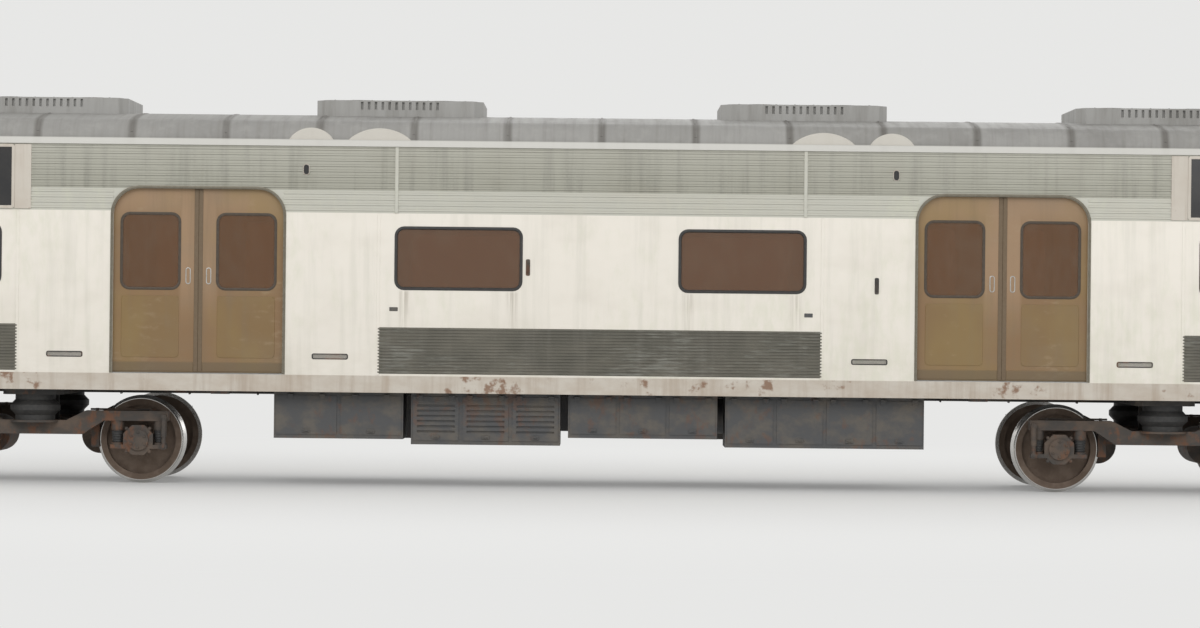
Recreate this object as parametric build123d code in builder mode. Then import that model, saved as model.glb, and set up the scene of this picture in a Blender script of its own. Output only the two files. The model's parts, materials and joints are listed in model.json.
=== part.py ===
from build123d import *
from math import atan, cos, degrees, radians, sin
import os

# Intermediate metro car, in millimetres. X runs along the car, Y across it and Z up.
# The origin is under the middle of the car, at the level of the wheel flanges.

# Layout along the car, from the middle outward
mid_bay_half = 2220
pocket_length = 955
doorway_width = 1700
end_bay_length = 2300
end_wall_thick = 120
bogie_setback = 2550
half_wheelbase = 1050

# Section and levels
half_width = 1400
flange_height = 28
tread_r = 420
floor_top = 1128
door_height = 1850
letterboard_height = 440
gutter_height = 64
gutter_reach = 22
roof_rise = 310
shoulder_r = 200
sill_height = 170

# Thicknesses and clearances
skin_thick = 28
wall_thick = 110
lining_thick = 22
roof_thick = 60
floor_thick = 40
plate_thick = 20
seam = 0.3
fit_gap = 0.3
run_gap = 6
pocket_side_gap = 12

# Side wall
door_corner_r = 260
rib_zone = 225
rib_height = 9
rib_width = 26
rib_slope = 62
rib_pitch = 54
band_rise = 20
band_height = 465
band_depth = 14
band_end_margin = 700
flute_height = 8
flute_width = 20
flute_pitch = 31
window_width = 1250
window_height = 605
window_sill = 875
window_inset = 175
window_corner_r = 80
glass_thick = 12
glass_depth = 10
display_length = 1200
display_inset = 65
display_margin = 40
display_thick = 22
display_notch = 10
door_lamp_setback = 225
door_lamp_drop = 235
door_lamp_length = 95
door_lamp_width = 48
door_lamp_reach = 12

# Sliding doors
door_overlap = 25
door_travel = 800
seal_half_gap = 0.5
door_top_lap = 22
threshold_thick = 6
threshold_reach = 180
guide_rib_height = 16
guide_rib_width = 6
leaf_glass_width = 580
leaf_glass_height = 750
leaf_glass_sill = 850
leaf_glass_offset = 480
leaf_glass_thick = 6
track_height = 60

# End walls and end doors
end_corner_r = 50
end_door_width = 700
end_door_height = 1900
end_door_thick = 40
end_door_gap = 8
end_glass_width = 420
end_glass_height = 760
end_glass_sill = 800
hinge_reach = 15
knuckle_r = 9
knuckle_length = 60
knuckle_tab = 40
knuckle_heights = [250, 950, 1600]
end_window_width = 560
end_window_height = 700
end_window_centre = 850
gangway_width = 70
gangway_reach = 70
lamp_length = 180
lamp_width = 90
lamp_centre = 1050
lamp_drop = 60
lamp_reach = 18

# Underframe
ladder_height = 130
rail_width = 100
bearer_width = 120
bearer_bays = 4
centre_rail_y = 290
centre_rail_width = 80
end_sill_drop = 18
fin_reach = 80
fin_half_width = 600
fin_count = 3
jack_setback = 1900
jack_pad_size = 180
jack_pad_height = 30
bolster_height = 58
bolster_half_length = 300
pivot_r = 90

# Inside
ceiling_height = 2132
ceiling_half_width = 930
cove_lip = 92
bench_depth = 440
bench_plinth_depth = 300
bench_plinth_height = 330
cushion_height = 440
cushion_dip = 20
back_height = 850
back_thick = 70
back_lean = 50
bench_door_gap = 225
bench_wall_gap = 130
screen_height = 1400
pole_r = 17
rail_r = 14
rail_height = 1850
collar_wall = 7
collar_half = 35

# Couplers
coupler_drop = 198
coupler_reach = 400
shank_r = 70
head_length = 240
head_width = 300
head_height = 260
cone_r = 55
cone_length = 80
cone_offset = 72
draft_length = 430
draft_half_width = 160
draft_drop = 110

# Bogies
wheel_back = 680
wheel_width = 135
axle_r = 80
journal_r = 65
journal_end = 1060
side_frame_y = 1000
side_frame_width = 140
side_frame_half = 1350
side_frame_top = 740
side_frame_low = 640
air_spring_r = 250
box_half = 150
box_cap_r = 105
box_reach = 75
wing_reach = 280
wing_z = 400
spring_r = 66
spring_x = 215
transom_half = 180
transom_bottom = 500
transom_top = 620
motor_x = 560
motor_z = 470
motor_r = 190
motor_half = 290
gear_near = 330
gear_far = 470
gear_case_r = 200
brake_y = 765
brake_width = 76

# Levels and places that follow from the sizes above
flange_r = tread_r + flange_height
axle_z = flange_r
doorway_in = mid_bay_half + pocket_length
doorway_out = doorway_in + doorway_width
door_centre = (doorway_in + doorway_out) / 2
end_bay_start = doorway_out + pocket_length
inner_half_length = end_bay_start + end_bay_length
body_half_length = inner_half_length + end_wall_thick
bogie_centre = body_half_length - bogie_setback
sill_bottom = floor_top - sill_height
ladder_top = floor_top - floor_thick
ladder_bottom = ladder_top - ladder_height
bolster_bottom = ladder_bottom - bolster_height
door_top = floor_top + door_height
ribs_bottom = door_top - rib_zone
gutter_z = door_top + letterboard_height
gutter_top = gutter_z + gutter_height
crown_z = gutter_top + roof_rise
wall_inner = half_width - wall_thick
lining_outer = wall_inner + lining_thick
skin_inner = half_width - skin_thick
wall_middle_z = (floor_top + door_top) / 2
window_z = floor_top + window_sill + window_height / 2
band_base = floor_top + band_rise
band_end = inner_half_length - band_end_margin
leaf_thick = skin_inner - lining_outer - 2 * pocket_side_gap
leaf_y = (skin_inner + lining_outer) / 2
leaf_bottom = floor_top + threshold_thick + run_gap
leaf_top = door_top + door_top_lap
leaf_width = doorway_width / 2 + door_overlap - seal_half_gap
guide_rib_top = floor_top + threshold_thick + guide_rib_height
ceiling_z = floor_top + ceiling_height
cove_lip_y = lining_outer - cove_lip

# Roof arcs: a shoulder arc that turns into one wide crown arc
shoulder_turn = 90 - 2 * degrees(atan((roof_rise - shoulder_r) / (half_width - shoulder_r)))
crown_r = shoulder_r + (half_width - shoulder_r) / cos(radians(shoulder_turn))

sides = {"near": -1, "far": 1}
doors = {"a": -door_centre, "b": door_centre}
hands = {"left": -1, "right": 1}
ends = {"a": -1, "b": 1}

# Wall bays between the pockets. Columns: start, end, window centres, all along X
window_offset = window_inset + window_width / 2
wall_bays = [
    (-inner_half_length, -end_bay_start, [-end_bay_start - window_offset]),
    (-mid_bay_half, mid_bay_half, [-mid_bay_half + window_offset, mid_bay_half - window_offset]),
    (end_bay_start, inner_half_length, [end_bay_start + window_offset]),
]

# Fluted bands. Columns: start, end
band_spans = [(-band_end, -end_bay_start), (-mid_bay_half, mid_bay_half), (end_bay_start, band_end)]

# Door pockets. Columns: start, end, direction to the doorway
pocket_spans = [
    (-end_bay_start, -doorway_out, 1),
    (-doorway_in, -mid_bay_half, -1),
    (mid_bay_half, doorway_in, 1),
    (doorway_out, end_bay_start, -1),
]

# Side displays in the end bays
display_x = end_bay_start + display_inset + display_length / 2
display_bottom = ribs_bottom + display_margin
display_top = gutter_z - display_margin
display_z = (display_bottom + display_top) / 2
door_lamp_x = doorway_in - door_lamp_setback
door_lamp_z = gutter_z - door_lamp_drop


def save(name, piece):
    """Write one node, as one solid or as several that don't touch."""
    solids = piece.solids()
    node = solids[0] if len(solids) == 1 else Compound(children=solids)
    node.label = name
    export_step(node, f"parts/{name}.step")


def side_plane(side, y):
    """A plane facing outward on one side of the car. Its x runs along the car, its y up."""
    return Plane(origin=(0, side * y, 0), x_dir=(-side, 0, 0), z_dir=(0, side, 0))


def end_plane(end, x):
    """A plane facing outward at one end of the car. Its x runs across the car, its y up."""
    return Plane(origin=(end * x, 0, 0), x_dir=(0, end, 0), z_dir=(end, 0, 0))


def body_outline(inset, base_z):
    """The face of the body's section above base_z, moved in by inset."""
    turn = radians(shoulder_turn)
    wall_y = half_width - inset
    hub_y = half_width - shoulder_r
    small_r = shoulder_r - inset
    big_r = crown_r - inset
    crown_hub_z = crown_z - crown_r
    shoulder_mid = (hub_y + small_r * cos(turn / 2), gutter_top + small_r * sin(turn / 2))
    shoulder_end = (hub_y + small_r * cos(turn), gutter_top + small_r * sin(turn))
    half_turn = (turn + radians(90)) / 2
    crown_mid = (big_r * cos(half_turn), crown_hub_z + big_r * sin(half_turn))
    crown_top = (0, crown_hub_z + big_r)
    with BuildLine(mode=Mode.PRIVATE) as line:
        Polyline((0, base_z), (wall_y, base_z), (wall_y, gutter_top))
        ThreePointArc((wall_y, gutter_top), shoulder_mid, shoulder_end)
        ThreePointArc(shoulder_end, crown_mid, crown_top)
        Line(crown_top, (0, base_z))
    with BuildSketch(mode=Mode.PRIVATE) as face:
        make_face(line.edges())
        mirror(about=Plane.YZ)
    return face.sketch


def ribs(side, start, end, bottom, top):
    """Raised ribs along the outer face, as many as fit between two levels."""
    count = int((top - bottom - rib_width) // rib_pitch) + 1
    with BuildSketch(Plane.YZ.offset(start), mode=Mode.PRIVATE) as rows:
        with Locations((side * (half_width + rib_height / 2), (bottom + top) / 2)):
            with GridLocations(0, rib_pitch, 1, count):
                Trapezoid(rib_width, rib_height, rib_slope, rotation=-side * 90)
    return extrude(rows.sketch, amount=end - start, mode=Mode.PRIVATE)


def display_seats(side):
    """The shallow seats of the two displays on one side."""
    with BuildSketch(side_plane(side, half_width - display_notch), mode=Mode.PRIVATE) as seat:
        with Locations((-display_x, display_z), (display_x, display_z)):
            Rectangle(display_length, display_top - display_bottom)
    return extrude(seat.sketch, amount=display_notch + 2 * rib_height, mode=Mode.PRIVATE)


def door_lamps(side, gap, reach):
    """The two upright oval lamps on one side, or their seats between the ribs."""
    with BuildSketch(side_plane(side, half_width), mode=Mode.PRIVATE) as ovals:
        with Locations((-door_lamp_x, door_lamp_z), (door_lamp_x, door_lamp_z)):
            SlotOverall(door_lamp_length - 2 * gap, door_lamp_width - 2 * gap, rotation=90)
    return extrude(ovals.sketch, amount=reach, mode=Mode.PRIVATE)


os.makedirs("parts", exist_ok=True)

# Side sills: the pale strip below the panels and doors
with BuildPart() as side_sills:
    for side in sides.values():
        with BuildSketch(side_plane(side, lining_outer)):
            with Locations((0, sill_bottom + sill_height / 2)):
                Rectangle(2 * inner_half_length, sill_height)
        extrude(amount=half_width - lining_outer)
side_sills.part.label = "side_sills"
save("side_sills", side_sills.part)

# Underframe: four long rails between the two end sills, with jack pads and fins
with BuildPart() as underframe:
    with BuildSketch(Plane.XY.offset(ladder_bottom)):
        with GridLocations(0, 2 * lining_outer - rail_width, 1, 2):
            Rectangle(2 * inner_half_length, rail_width)
        with GridLocations(0, 2 * centre_rail_y, 1, 2):
            Rectangle(2 * inner_half_length, centre_rail_width)
    extrude(amount=ladder_height)
    end_sill_x = inner_half_length + end_wall_thick / 2
    with BuildSketch(Plane.XY.offset(ladder_bottom - end_sill_drop)):
        with Locations((-end_sill_x, 0), (end_sill_x, 0)):
            Rectangle(end_wall_thick, 2 * half_width)
    extrude(amount=floor_top - ladder_bottom + end_sill_drop)
    with BuildSketch(Plane.XY.offset(ladder_bottom - jack_pad_height)):
        with GridLocations(2 * (bogie_centre - jack_setback), 2 * lining_outer - rail_width, 2, 2):
            Rectangle(jack_pad_size, jack_pad_size)
    extrude(amount=jack_pad_height)
    for step in range(fin_count):
        with BuildSketch(Plane.XY.offset(sill_bottom + (2 * step + 1) * plate_thick)):
            with Locations((-body_half_length, 0), (body_half_length, 0)):
                Rectangle(2 * fin_reach, 2 * fin_half_width)
        extrude(amount=plate_thick)
    upright_edges = underframe.edges().filter_by(Axis.Z)
    fin_corners = upright_edges.filter_by(lambda e: abs(e.center().X) > body_half_length + fit_gap)
    chamfer(fin_corners, fin_reach / 2)
underframe.part.label = "underframe"
save("underframe", underframe.part)

# Cross-bearers between the rails, wide over the bogies. Columns: centre x, width
bearer_pitch = bogie_centre / bearer_bays
bearer_table = [(step * bearer_pitch, bearer_width) for step in range(bearer_bays)]
bearer_table += [
    (bogie_centre, 2 * bolster_half_length),
    ((bogie_centre + inner_half_length) / 2, bearer_width),
    (inner_half_length - bearer_width / 2, bearer_width),
]
rail_faces = [centre_rail_y - centre_rail_width / 2, centre_rail_y + centre_rail_width / 2]
outer_face = lining_outer - rail_width
with BuildPart() as cross_bearers:
    with BuildSketch(Plane.XY.offset(ladder_bottom)):
        for x, width in bearer_table:
            with Locations((-x, 0), (x, 0)):
                Rectangle(width, 2 * rail_faces[0])
                with GridLocations(0, rail_faces[1] + outer_face, 1, 2):
                    Rectangle(width, outer_face - rail_faces[1])
    extrude(amount=ladder_height)
cross_bearers.part.label = "cross_bearers"
save("cross_bearers", cross_bearers.part)

# Body bolsters with the centre pivots that the bogies turn on
with BuildPart() as body_bolsters:
    with BuildSketch(Plane.XY.offset(bolster_bottom)):
        with Locations((-bogie_centre, 0), (bogie_centre, 0)):
            Rectangle(2 * bolster_half_length, 2 * (lining_outer - rail_width))
    extrude(amount=bolster_height)
    chamfer(body_bolsters.edges().filter_by(Axis.Z), bolster_height)
    with BuildSketch(Plane.XY.offset(transom_bottom)):
        with Locations((-bogie_centre, 0), (bogie_centre, 0)):
            Circle(pivot_r)
    extrude(amount=bolster_bottom - transom_bottom)
body_bolsters.part.label = "body_bolsters"
save("body_bolsters", body_bolsters.part)

# Floor slab
with BuildPart() as floor:
    with BuildSketch(Plane.XY.offset(ladder_top)):
        Rectangle(2 * inner_half_length, 2 * lining_outer)
    extrude(amount=floor_thick)
floor.part.label = "floor"
save("floor", floor.part)

# Thresholds: a plate in each doorway with the rib that guides the leaves
plate_y = half_width - threshold_reach / 2
with BuildPart() as thresholds:
    for side in sides.values():
        for x in doors.values():
            with BuildSketch(Plane.XY.offset(floor_top)):
                with Locations((x, side * plate_y)):
                    Rectangle(doorway_width - 2 * fit_gap, threshold_reach)
            extrude(amount=threshold_thick)
            with BuildSketch(Plane.XY.offset(floor_top + threshold_thick)):
                with Locations((x, side * leaf_y)):
                    Rectangle(doorway_width - 2 * fit_gap, guide_rib_width)
            extrude(amount=guide_rib_height)
thresholds.part.label = "thresholds"
save("thresholds", thresholds.part)

# Door tracks: the beam over each doorway that the leaves run along
track_length = doorway_width + 2 * (door_travel + door_overlap)
with BuildPart() as door_tracks:
    for side in sides.values():
        with BuildSketch(side_plane(side, lining_outer)):
            for x in doors.values():
                with Locations((-side * x, leaf_top + fit_gap + track_height / 2)):
                    Rectangle(track_length, track_height)
        extrude(amount=skin_inner - lining_outer)
door_tracks.part.label = "door_tracks"
save("door_tracks", door_tracks.part)

# Side panels: the wall at its full thickness, with the windows cut and a seat for the fluted band
with BuildPart() as side_panels:
    for side in sides.values():
        for start, end, window_centres in wall_bays:
            with BuildSketch(side_plane(side, wall_inner)):
                with Locations((-side * (start + end) / 2, wall_middle_z)):
                    Rectangle(end - start - 2 * seam, door_height)
                for x in window_centres:
                    with Locations((-side * x, window_z)):
                        RectangleRounded(window_width, window_height, window_corner_r, mode=Mode.SUBTRACT)
            extrude(amount=wall_thick)
            add(ribs(side, start + seam, end - seam, ribs_bottom, door_top))
        for start, end in band_spans:
            with BuildSketch(side_plane(side, half_width - band_depth)):
                with Locations((-side * (start + end) / 2, band_base + band_height / 2)):
                    Rectangle(end - start, band_height)
            extrude(amount=band_depth, mode=Mode.SUBTRACT)
        add(display_seats(side), mode=Mode.SUBTRACT)
side_panels.part.label = "side_panels"
save("side_panels", side_panels.part)

# Fluted bands seated in the side panels
flute_count = int((band_height - flute_width) // flute_pitch) + 1
with BuildPart() as fluted_bands:
    for side in sides.values():
        for start, end in band_spans:
            with BuildSketch(Plane.YZ.offset(start + 2 * seam)):
                with Locations((side * (half_width - band_depth / 2), band_base + band_height / 2)):
                    Rectangle(band_depth, band_height - 2 * fit_gap)
                with Locations((side * (half_width + flute_height / 2), band_base + band_height / 2)):
                    with GridLocations(0, flute_pitch, 1, flute_count):
                        Trapezoid(flute_width, flute_height, rib_slope, rotation=-side * 90)
            extrude(amount=end - start - 4 * seam)
fluted_bands.part.label = "fluted_bands"
save("fluted_bands", fluted_bands.part)

# Pocket panels: the thin outer skin beside each doorway, its top corner rounded into the doorway
with BuildPart() as pocket_panels:
    for side in sides.values():
        for start, end, doorway in pocket_spans:
            edge = end if doorway > 0 else start
            web_x = edge + doorway * door_corner_r / 2
            hub_x = edge + doorway * door_corner_r
            with BuildSketch(side_plane(side, skin_inner)):
                with Locations((-side * web_x, door_top - door_corner_r / 2)):
                    Rectangle(door_corner_r, door_corner_r)
                with Locations((-side * hub_x, door_top - door_corner_r)):
                    Circle(door_corner_r, mode=Mode.SUBTRACT)
                with Locations((-side * (start + end) / 2, wall_middle_z)):
                    Rectangle(end - start, door_height)
            extrude(amount=skin_thick)
            add(ribs(side, start, end, ribs_bottom, door_top))
pocket_panels.part.label = "pocket_panels"
save("pocket_panels", pocket_panels.part)

# Pocket linings: the inner plate of each door pocket
with BuildPart() as pocket_linings:
    for side in sides.values():
        with BuildSketch(side_plane(side, wall_inner)):
            for start, end, doorway in pocket_spans:
                with Locations((-side * (start + end) / 2, wall_middle_z)):
                    Rectangle(end - start, door_height)
        extrude(amount=lining_thick)
pocket_linings.part.label = "pocket_linings"
save("pocket_linings", pocket_linings.part)

# Letterboards: the ribbed strip over the doors, the whole length of each side
with BuildPart() as letterboards:
    for side in sides.values():
        with BuildSketch(side_plane(side, skin_inner)):
            with Locations((0, (door_top + gutter_z) / 2)):
                Rectangle(2 * inner_half_length, letterboard_height)
        extrude(amount=skin_thick)
        add(ribs(side, -inner_half_length, inner_half_length, door_top, gutter_z))
        add(display_seats(side), mode=Mode.SUBTRACT)
        add(door_lamps(side, 0, 2 * rib_height), mode=Mode.SUBTRACT)
letterboards.part.label = "letterboards"
save("letterboards", letterboards.part)

# Side displays: blank dark panels in the end bays, and a small oval lamp beside each doorway
with BuildPart() as side_displays:
    for side in sides.values():
        with BuildSketch(side_plane(side, half_width - display_notch)):
            with Locations((-display_x, display_z), (display_x, display_z)):
                Rectangle(display_length - 2 * fit_gap, display_top - display_bottom - 2 * fit_gap)
        extrude(amount=display_thick)
        add(door_lamps(side, fit_gap, rib_height + door_lamp_reach))
side_displays.part.label = "side_displays"
save("side_displays", side_displays.part)

# Windows: one pane in each side and end window opening
end_window_z = floor_top + window_sill + end_window_height / 2
pane_inset = glass_depth + glass_thick
with BuildPart() as windows:
    for side in sides.values():
        with BuildSketch(side_plane(side, half_width - pane_inset)):
            for start, end, window_centres in wall_bays:
                for x in window_centres:
                    with Locations((-side * x, window_z)):
                        RectangleRounded(
                            window_width - 2 * fit_gap, window_height - 2 * fit_gap, window_corner_r - fit_gap
                        )
        extrude(amount=glass_thick)
    for end in ends.values():
        with BuildSketch(end_plane(end, body_half_length - pane_inset)):
            with Locations((-end_window_centre, end_window_z), (end_window_centre, end_window_z)):
                RectangleRounded(
                    end_window_width - 2 * fit_gap, end_window_height - 2 * fit_gap, window_corner_r - fit_gap
                )
        extrude(amount=glass_thick)
windows.part.label = "windows"
save("windows", windows.part)

# Roof shell with a gutter along each side
with BuildPart() as roof:
    with BuildSketch(end_plane(1, -inner_half_length)):
        add(body_outline(0, gutter_z))
        with Locations((0, gutter_z + gutter_height / 2)):
            with GridLocations(2 * half_width, 0, 2, 1):
                Rectangle(2 * gutter_reach, gutter_height)
        add(body_outline(roof_thick, gutter_z), mode=Mode.SUBTRACT)
    extrude(amount=2 * inner_half_length)
roof.part.label = "roof"
save("roof", roof.part)

# Roof units: casings with side louvres and two fan covers each, and low domed vents over the gutters.
# Vent columns: centre x, length
unit_x = [-bogie_centre, -mid_bay_half / 2 - pocket_length, mid_bay_half / 2 + pocket_length, bogie_centre]
unit_length = 1700
unit_width = 1300
unit_height = 130
unit_sink = 40
unit_chamfer = 90
fan_r = 270
fan_height = 24
louvre_count = 12
louvre_width = 26
louvre_pitch = 70
vent_table = [(-2905, 450), (-2220, 640), (2220, 640), (2905, 450)]
vent_height = 120
vent_depth = 180
vent_round = 14
with BuildPart() as roof_units:
    with BuildSketch(Plane.XY.offset(crown_z - unit_sink)):
        with Locations(*[(x, 0) for x in unit_x]):
            Rectangle(unit_length, unit_width)
    extrude(amount=unit_height + unit_sink)
    chamfer(roof_units.edges().filter_by(Axis.Z), unit_chamfer)
    with BuildSketch(Plane.XY.offset(crown_z + unit_height)):
        for x in unit_x:
            with Locations((x - unit_length / 4, 0), (x + unit_length / 4, 0)):
                Circle(fan_r)
    extrude(amount=fan_height, taper=20)
    for side in sides.values():
        with BuildSketch(side_plane(side, unit_width / 2 - louvre_width)):
            for x in unit_x:
                with Locations((x, crown_z + unit_height / 2 + louvre_width / 2)):
                    with GridLocations(louvre_pitch, 0, louvre_count, 1):
                        Rectangle(louvre_width, unit_height - 2 * louvre_width)
        extrude(amount=louvre_width, mode=Mode.SUBTRACT)
    for side in sides.values():
        for x, length in vent_table:
            with BuildSketch(side_plane(side, half_width + gutter_reach / 2 - vent_depth)):
                with BuildLine():
                    ThreePointArc(
                        (-side * x - length / 2, gutter_top),
                        (-side * x, gutter_top + vent_height),
                        (-side * x + length / 2, gutter_top),
                    )
                    Line((-side * x + length / 2, gutter_top), (-side * x - length / 2, gutter_top))
                make_face()
            extrude(amount=vent_depth)
    vent_rims = roof_units.edges().filter_by(GeomType.CIRCLE).filter_by(
        lambda e: abs(abs(e.center().Y) - half_width - gutter_reach / 2) < 1
    )
    chamfer(vent_rims, vent_round)
    with BuildSketch(end_plane(1, -inner_half_length)):
        add(body_outline(0, gutter_z))
    extrude(amount=2 * inner_half_length, mode=Mode.SUBTRACT)
roof_units.part.label = "roof_units"
save("roof_units", roof_units.part)

# Ceiling: a flat middle and a cove down each side to the top of the wall
cove_profile = [
    (lining_outer, door_top),
    (cove_lip_y, door_top),
    (ceiling_half_width, ceiling_z - plate_thick),
    (ceiling_half_width, ceiling_z),
    (ceiling_half_width + plate_thick, ceiling_z),
    (cove_lip_y + plate_thick, door_top + plate_thick),
    (lining_outer, door_top + plate_thick),
]
with BuildPart() as ceiling:
    with BuildSketch(Plane.XY.offset(ceiling_z - plate_thick)):
        Rectangle(2 * inner_half_length, 2 * (ceiling_half_width - seam))
    extrude(amount=plate_thick)
    with BuildSketch(end_plane(1, -inner_half_length)):
        with BuildLine():
            Polyline(*cove_profile, close=True)
        make_face()
        mirror(about=Plane.YZ)
    extrude(amount=2 * inner_half_length)
ceiling.part.label = "ceiling"
save("ceiling", ceiling.part)

# End walls: two side panels and a header round each end doorway. Columns: low y, high y, base
end_door_top = floor_top + end_door_height
end_door_half = end_door_width / 2
end_panels = [
    (-half_width, -end_door_half, floor_top),
    (-end_door_half + seam, end_door_half - seam, end_door_top),
    (end_door_half, half_width, floor_top),
]
hinge_x = inner_half_length - hinge_reach
with BuildPart() as end_walls:
    for end in ends.values():
        for low_y, high_y, base in end_panels:
            with BuildSketch(end_plane(end, inner_half_length)):
                add(body_outline(0, floor_top))
                with Locations((end * (low_y + high_y) / 2, (base + crown_z) / 2)):
                    Rectangle(high_y - low_y, crown_z - base, mode=Mode.INTERSECT)
                with Locations((-end_window_centre, end_window_z), (end_window_centre, end_window_z)):
                    RectangleRounded(
                        end_window_width, end_window_height, window_corner_r, mode=Mode.SUBTRACT
                    )
            extrude(amount=end_wall_thick)
    outer_edges = end_walls.edges().filter_by(Axis.Z).filter_by(
        lambda e: abs(abs(e.center().X) - body_half_length) < 1 and abs(abs(e.center().Y) - half_width) < 1
    )
    chamfer(outer_edges, end_corner_r)
    for end in ends.values():
        for height in knuckle_heights:
            with BuildSketch(Plane.XY.offset(floor_top + height)):
                with Locations((end * hinge_x, end * end_door_half)):
                    Circle(knuckle_r)
                with Locations((end * (hinge_x + hinge_reach / 2), end * (end_door_half + knuckle_tab / 2))):
                    Rectangle(hinge_reach, knuckle_tab)
            extrude(amount=knuckle_length)
end_walls.part.label = "end_walls"
save("end_walls", end_walls.part)

# Gangway frames: two posts and a top bar round each end doorway, outside
post_y = end_door_half + gangway_width / 2
end_door_middle_z = floor_top + end_door_height / 2
with BuildPart() as gangway_frames:
    for end in ends.values():
        with BuildSketch(end_plane(end, body_half_length)):
            with Locations((-post_y, end_door_middle_z), (post_y, end_door_middle_z)):
                Rectangle(gangway_width, end_door_height)
            with Locations((0, end_door_top + gangway_width / 2)):
                Rectangle(end_door_width + 2 * gangway_width, gangway_width)
        extrude(amount=gangway_reach)
    chamfer(gangway_frames.faces().filter_by(Axis.X).edges().filter_by(Axis.Z), gangway_width / 5)
gangway_frames.part.label = "gangway_frames"
save("gangway_frames", gangway_frames.part)

# End doors: each hinged at one side, opening inward
end_door_bottom = floor_top + run_gap
end_door_leaf_top = end_door_top - run_gap
end_glass_z = floor_top + end_glass_sill + end_glass_height / 2
for name, end in ends.items():
    with BuildPart() as end_door:
        with BuildSketch(end_plane(end, inner_half_length)):
            with Locations((0, (end_door_bottom + end_door_leaf_top) / 2)):
                Rectangle(end_door_width - 2 * end_door_gap, end_door_leaf_top - end_door_bottom)
            with Locations((0, end_glass_z)):
                RectangleRounded(
                    end_glass_width, end_glass_height, window_corner_r, mode=Mode.SUBTRACT
                )
        extrude(amount=end_door_thick)
        for height in knuckle_heights:
            with BuildSketch(Plane.XY.offset(floor_top + height + knuckle_length + fit_gap)):
                with Locations((end * hinge_x, end * end_door_half)):
                    Circle(knuckle_r)
                with Locations((end * (hinge_x + hinge_reach / 2), end * (end_door_half - knuckle_tab / 2))):
                    Rectangle(hinge_reach, knuckle_tab)
            extrude(amount=knuckle_length)
    end_door.part.label = f"end_door_{name}"
    save(f"end_door_{name}", end_door.part)
    with BuildPart() as end_door_glass:
        with BuildSketch(end_plane(end, inner_half_length + (end_door_thick - glass_thick) / 2)):
            with Locations((0, end_glass_z)):
                RectangleRounded(
                    end_glass_width - 2 * fit_gap, end_glass_height - 2 * fit_gap, window_corner_r - fit_gap
                )
        extrude(amount=glass_thick)
    end_door_glass.part.label = f"end_door_glass_{name}"
    save(f"end_door_glass_{name}", end_door_glass.part)

# Sliding door leaves, each with a groove over the guide rib and one tall window
leaf_glass_z = floor_top + leaf_glass_sill + leaf_glass_height / 2
groove_width = guide_rib_width + 2 * (run_gap - 1)
groove_depth = guide_rib_top + fit_gap - leaf_bottom
for side_name, side in sides.items():
    for door_name, centre in doors.items():
        for hand_name, hand in hands.items():
            middle = centre + hand * (seal_half_gap + leaf_width / 2)
            glass_x = centre + hand * leaf_glass_offset
            with BuildPart() as leaf:
                with BuildSketch(side_plane(side, leaf_y - leaf_thick / 2)):
                    with Locations((-side * middle, (leaf_bottom + leaf_top) / 2)):
                        Rectangle(leaf_width, leaf_top - leaf_bottom)
                    with Locations((-side * glass_x, leaf_glass_z)):
                        RectangleRounded(
                            leaf_glass_width, leaf_glass_height, window_corner_r, mode=Mode.SUBTRACT
                        )
                extrude(amount=leaf_thick)
                with BuildSketch(Plane.XY.offset(leaf_bottom)):
                    with Locations((middle, side * leaf_y)):
                        Rectangle(leaf_width, groove_width)
                extrude(amount=groove_depth, mode=Mode.SUBTRACT)
            leaf_name = f"door_leaf_{side_name}_{door_name}_{hand_name}"
            leaf.part.label = leaf_name
            save(leaf_name, leaf.part)
            with BuildPart() as leaf_glass:
                with BuildSketch(side_plane(side, leaf_y + leaf_thick / 2 - 2 * leaf_glass_thick)):
                    with Locations((-side * glass_x, leaf_glass_z)):
                        RectangleRounded(
                            leaf_glass_width - 2 * fit_gap,
                            leaf_glass_height - 2 * fit_gap,
                            window_corner_r - fit_gap,
                        )
                extrude(amount=leaf_glass_thick)
            glass_name = f"door_glass_{side_name}_{door_name}_{hand_name}"
            leaf_glass.part.label = glass_name
            save(glass_name, leaf_glass.part)

# Seats: long benches with their backs against the wall. Columns: start, end
bench_start = doorway_out + bench_door_gap
bench_stop = inner_half_length - bench_wall_gap
bench_mid = doorway_in - bench_door_gap
bench_spans = [(-bench_stop, -bench_start), (-bench_mid, bench_mid), (bench_start, bench_stop)]
plinth_y = wall_inner - bench_plinth_depth
front_y = wall_inner - bench_depth
plinth_top = floor_top + bench_plinth_height
cushion_top = floor_top + cushion_height
back_y = wall_inner - back_thick
cushion_profile = [
    (wall_inner, floor_top),
    (plinth_y, floor_top),
    (plinth_y, plinth_top),
    (front_y, plinth_top),
    (front_y, cushion_top),
    (wall_inner, cushion_top - cushion_dip),
]
back_profile = [
    (wall_inner, cushion_top + seam),
    (back_y - back_lean, cushion_top + seam),
    (back_y, floor_top + back_height),
    (wall_inner, floor_top + back_height),
]
with BuildPart() as seats:
    for start, end in bench_spans:
        for profile in (cushion_profile, back_profile):
            with BuildSketch(end_plane(1, start)):
                with BuildLine():
                    Polyline(*profile, close=True)
                make_face()
                mirror(about=Plane.YZ)
            extrude(amount=end - start)
seats.part.label = "seats"
save("seats", seats.part)

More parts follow.
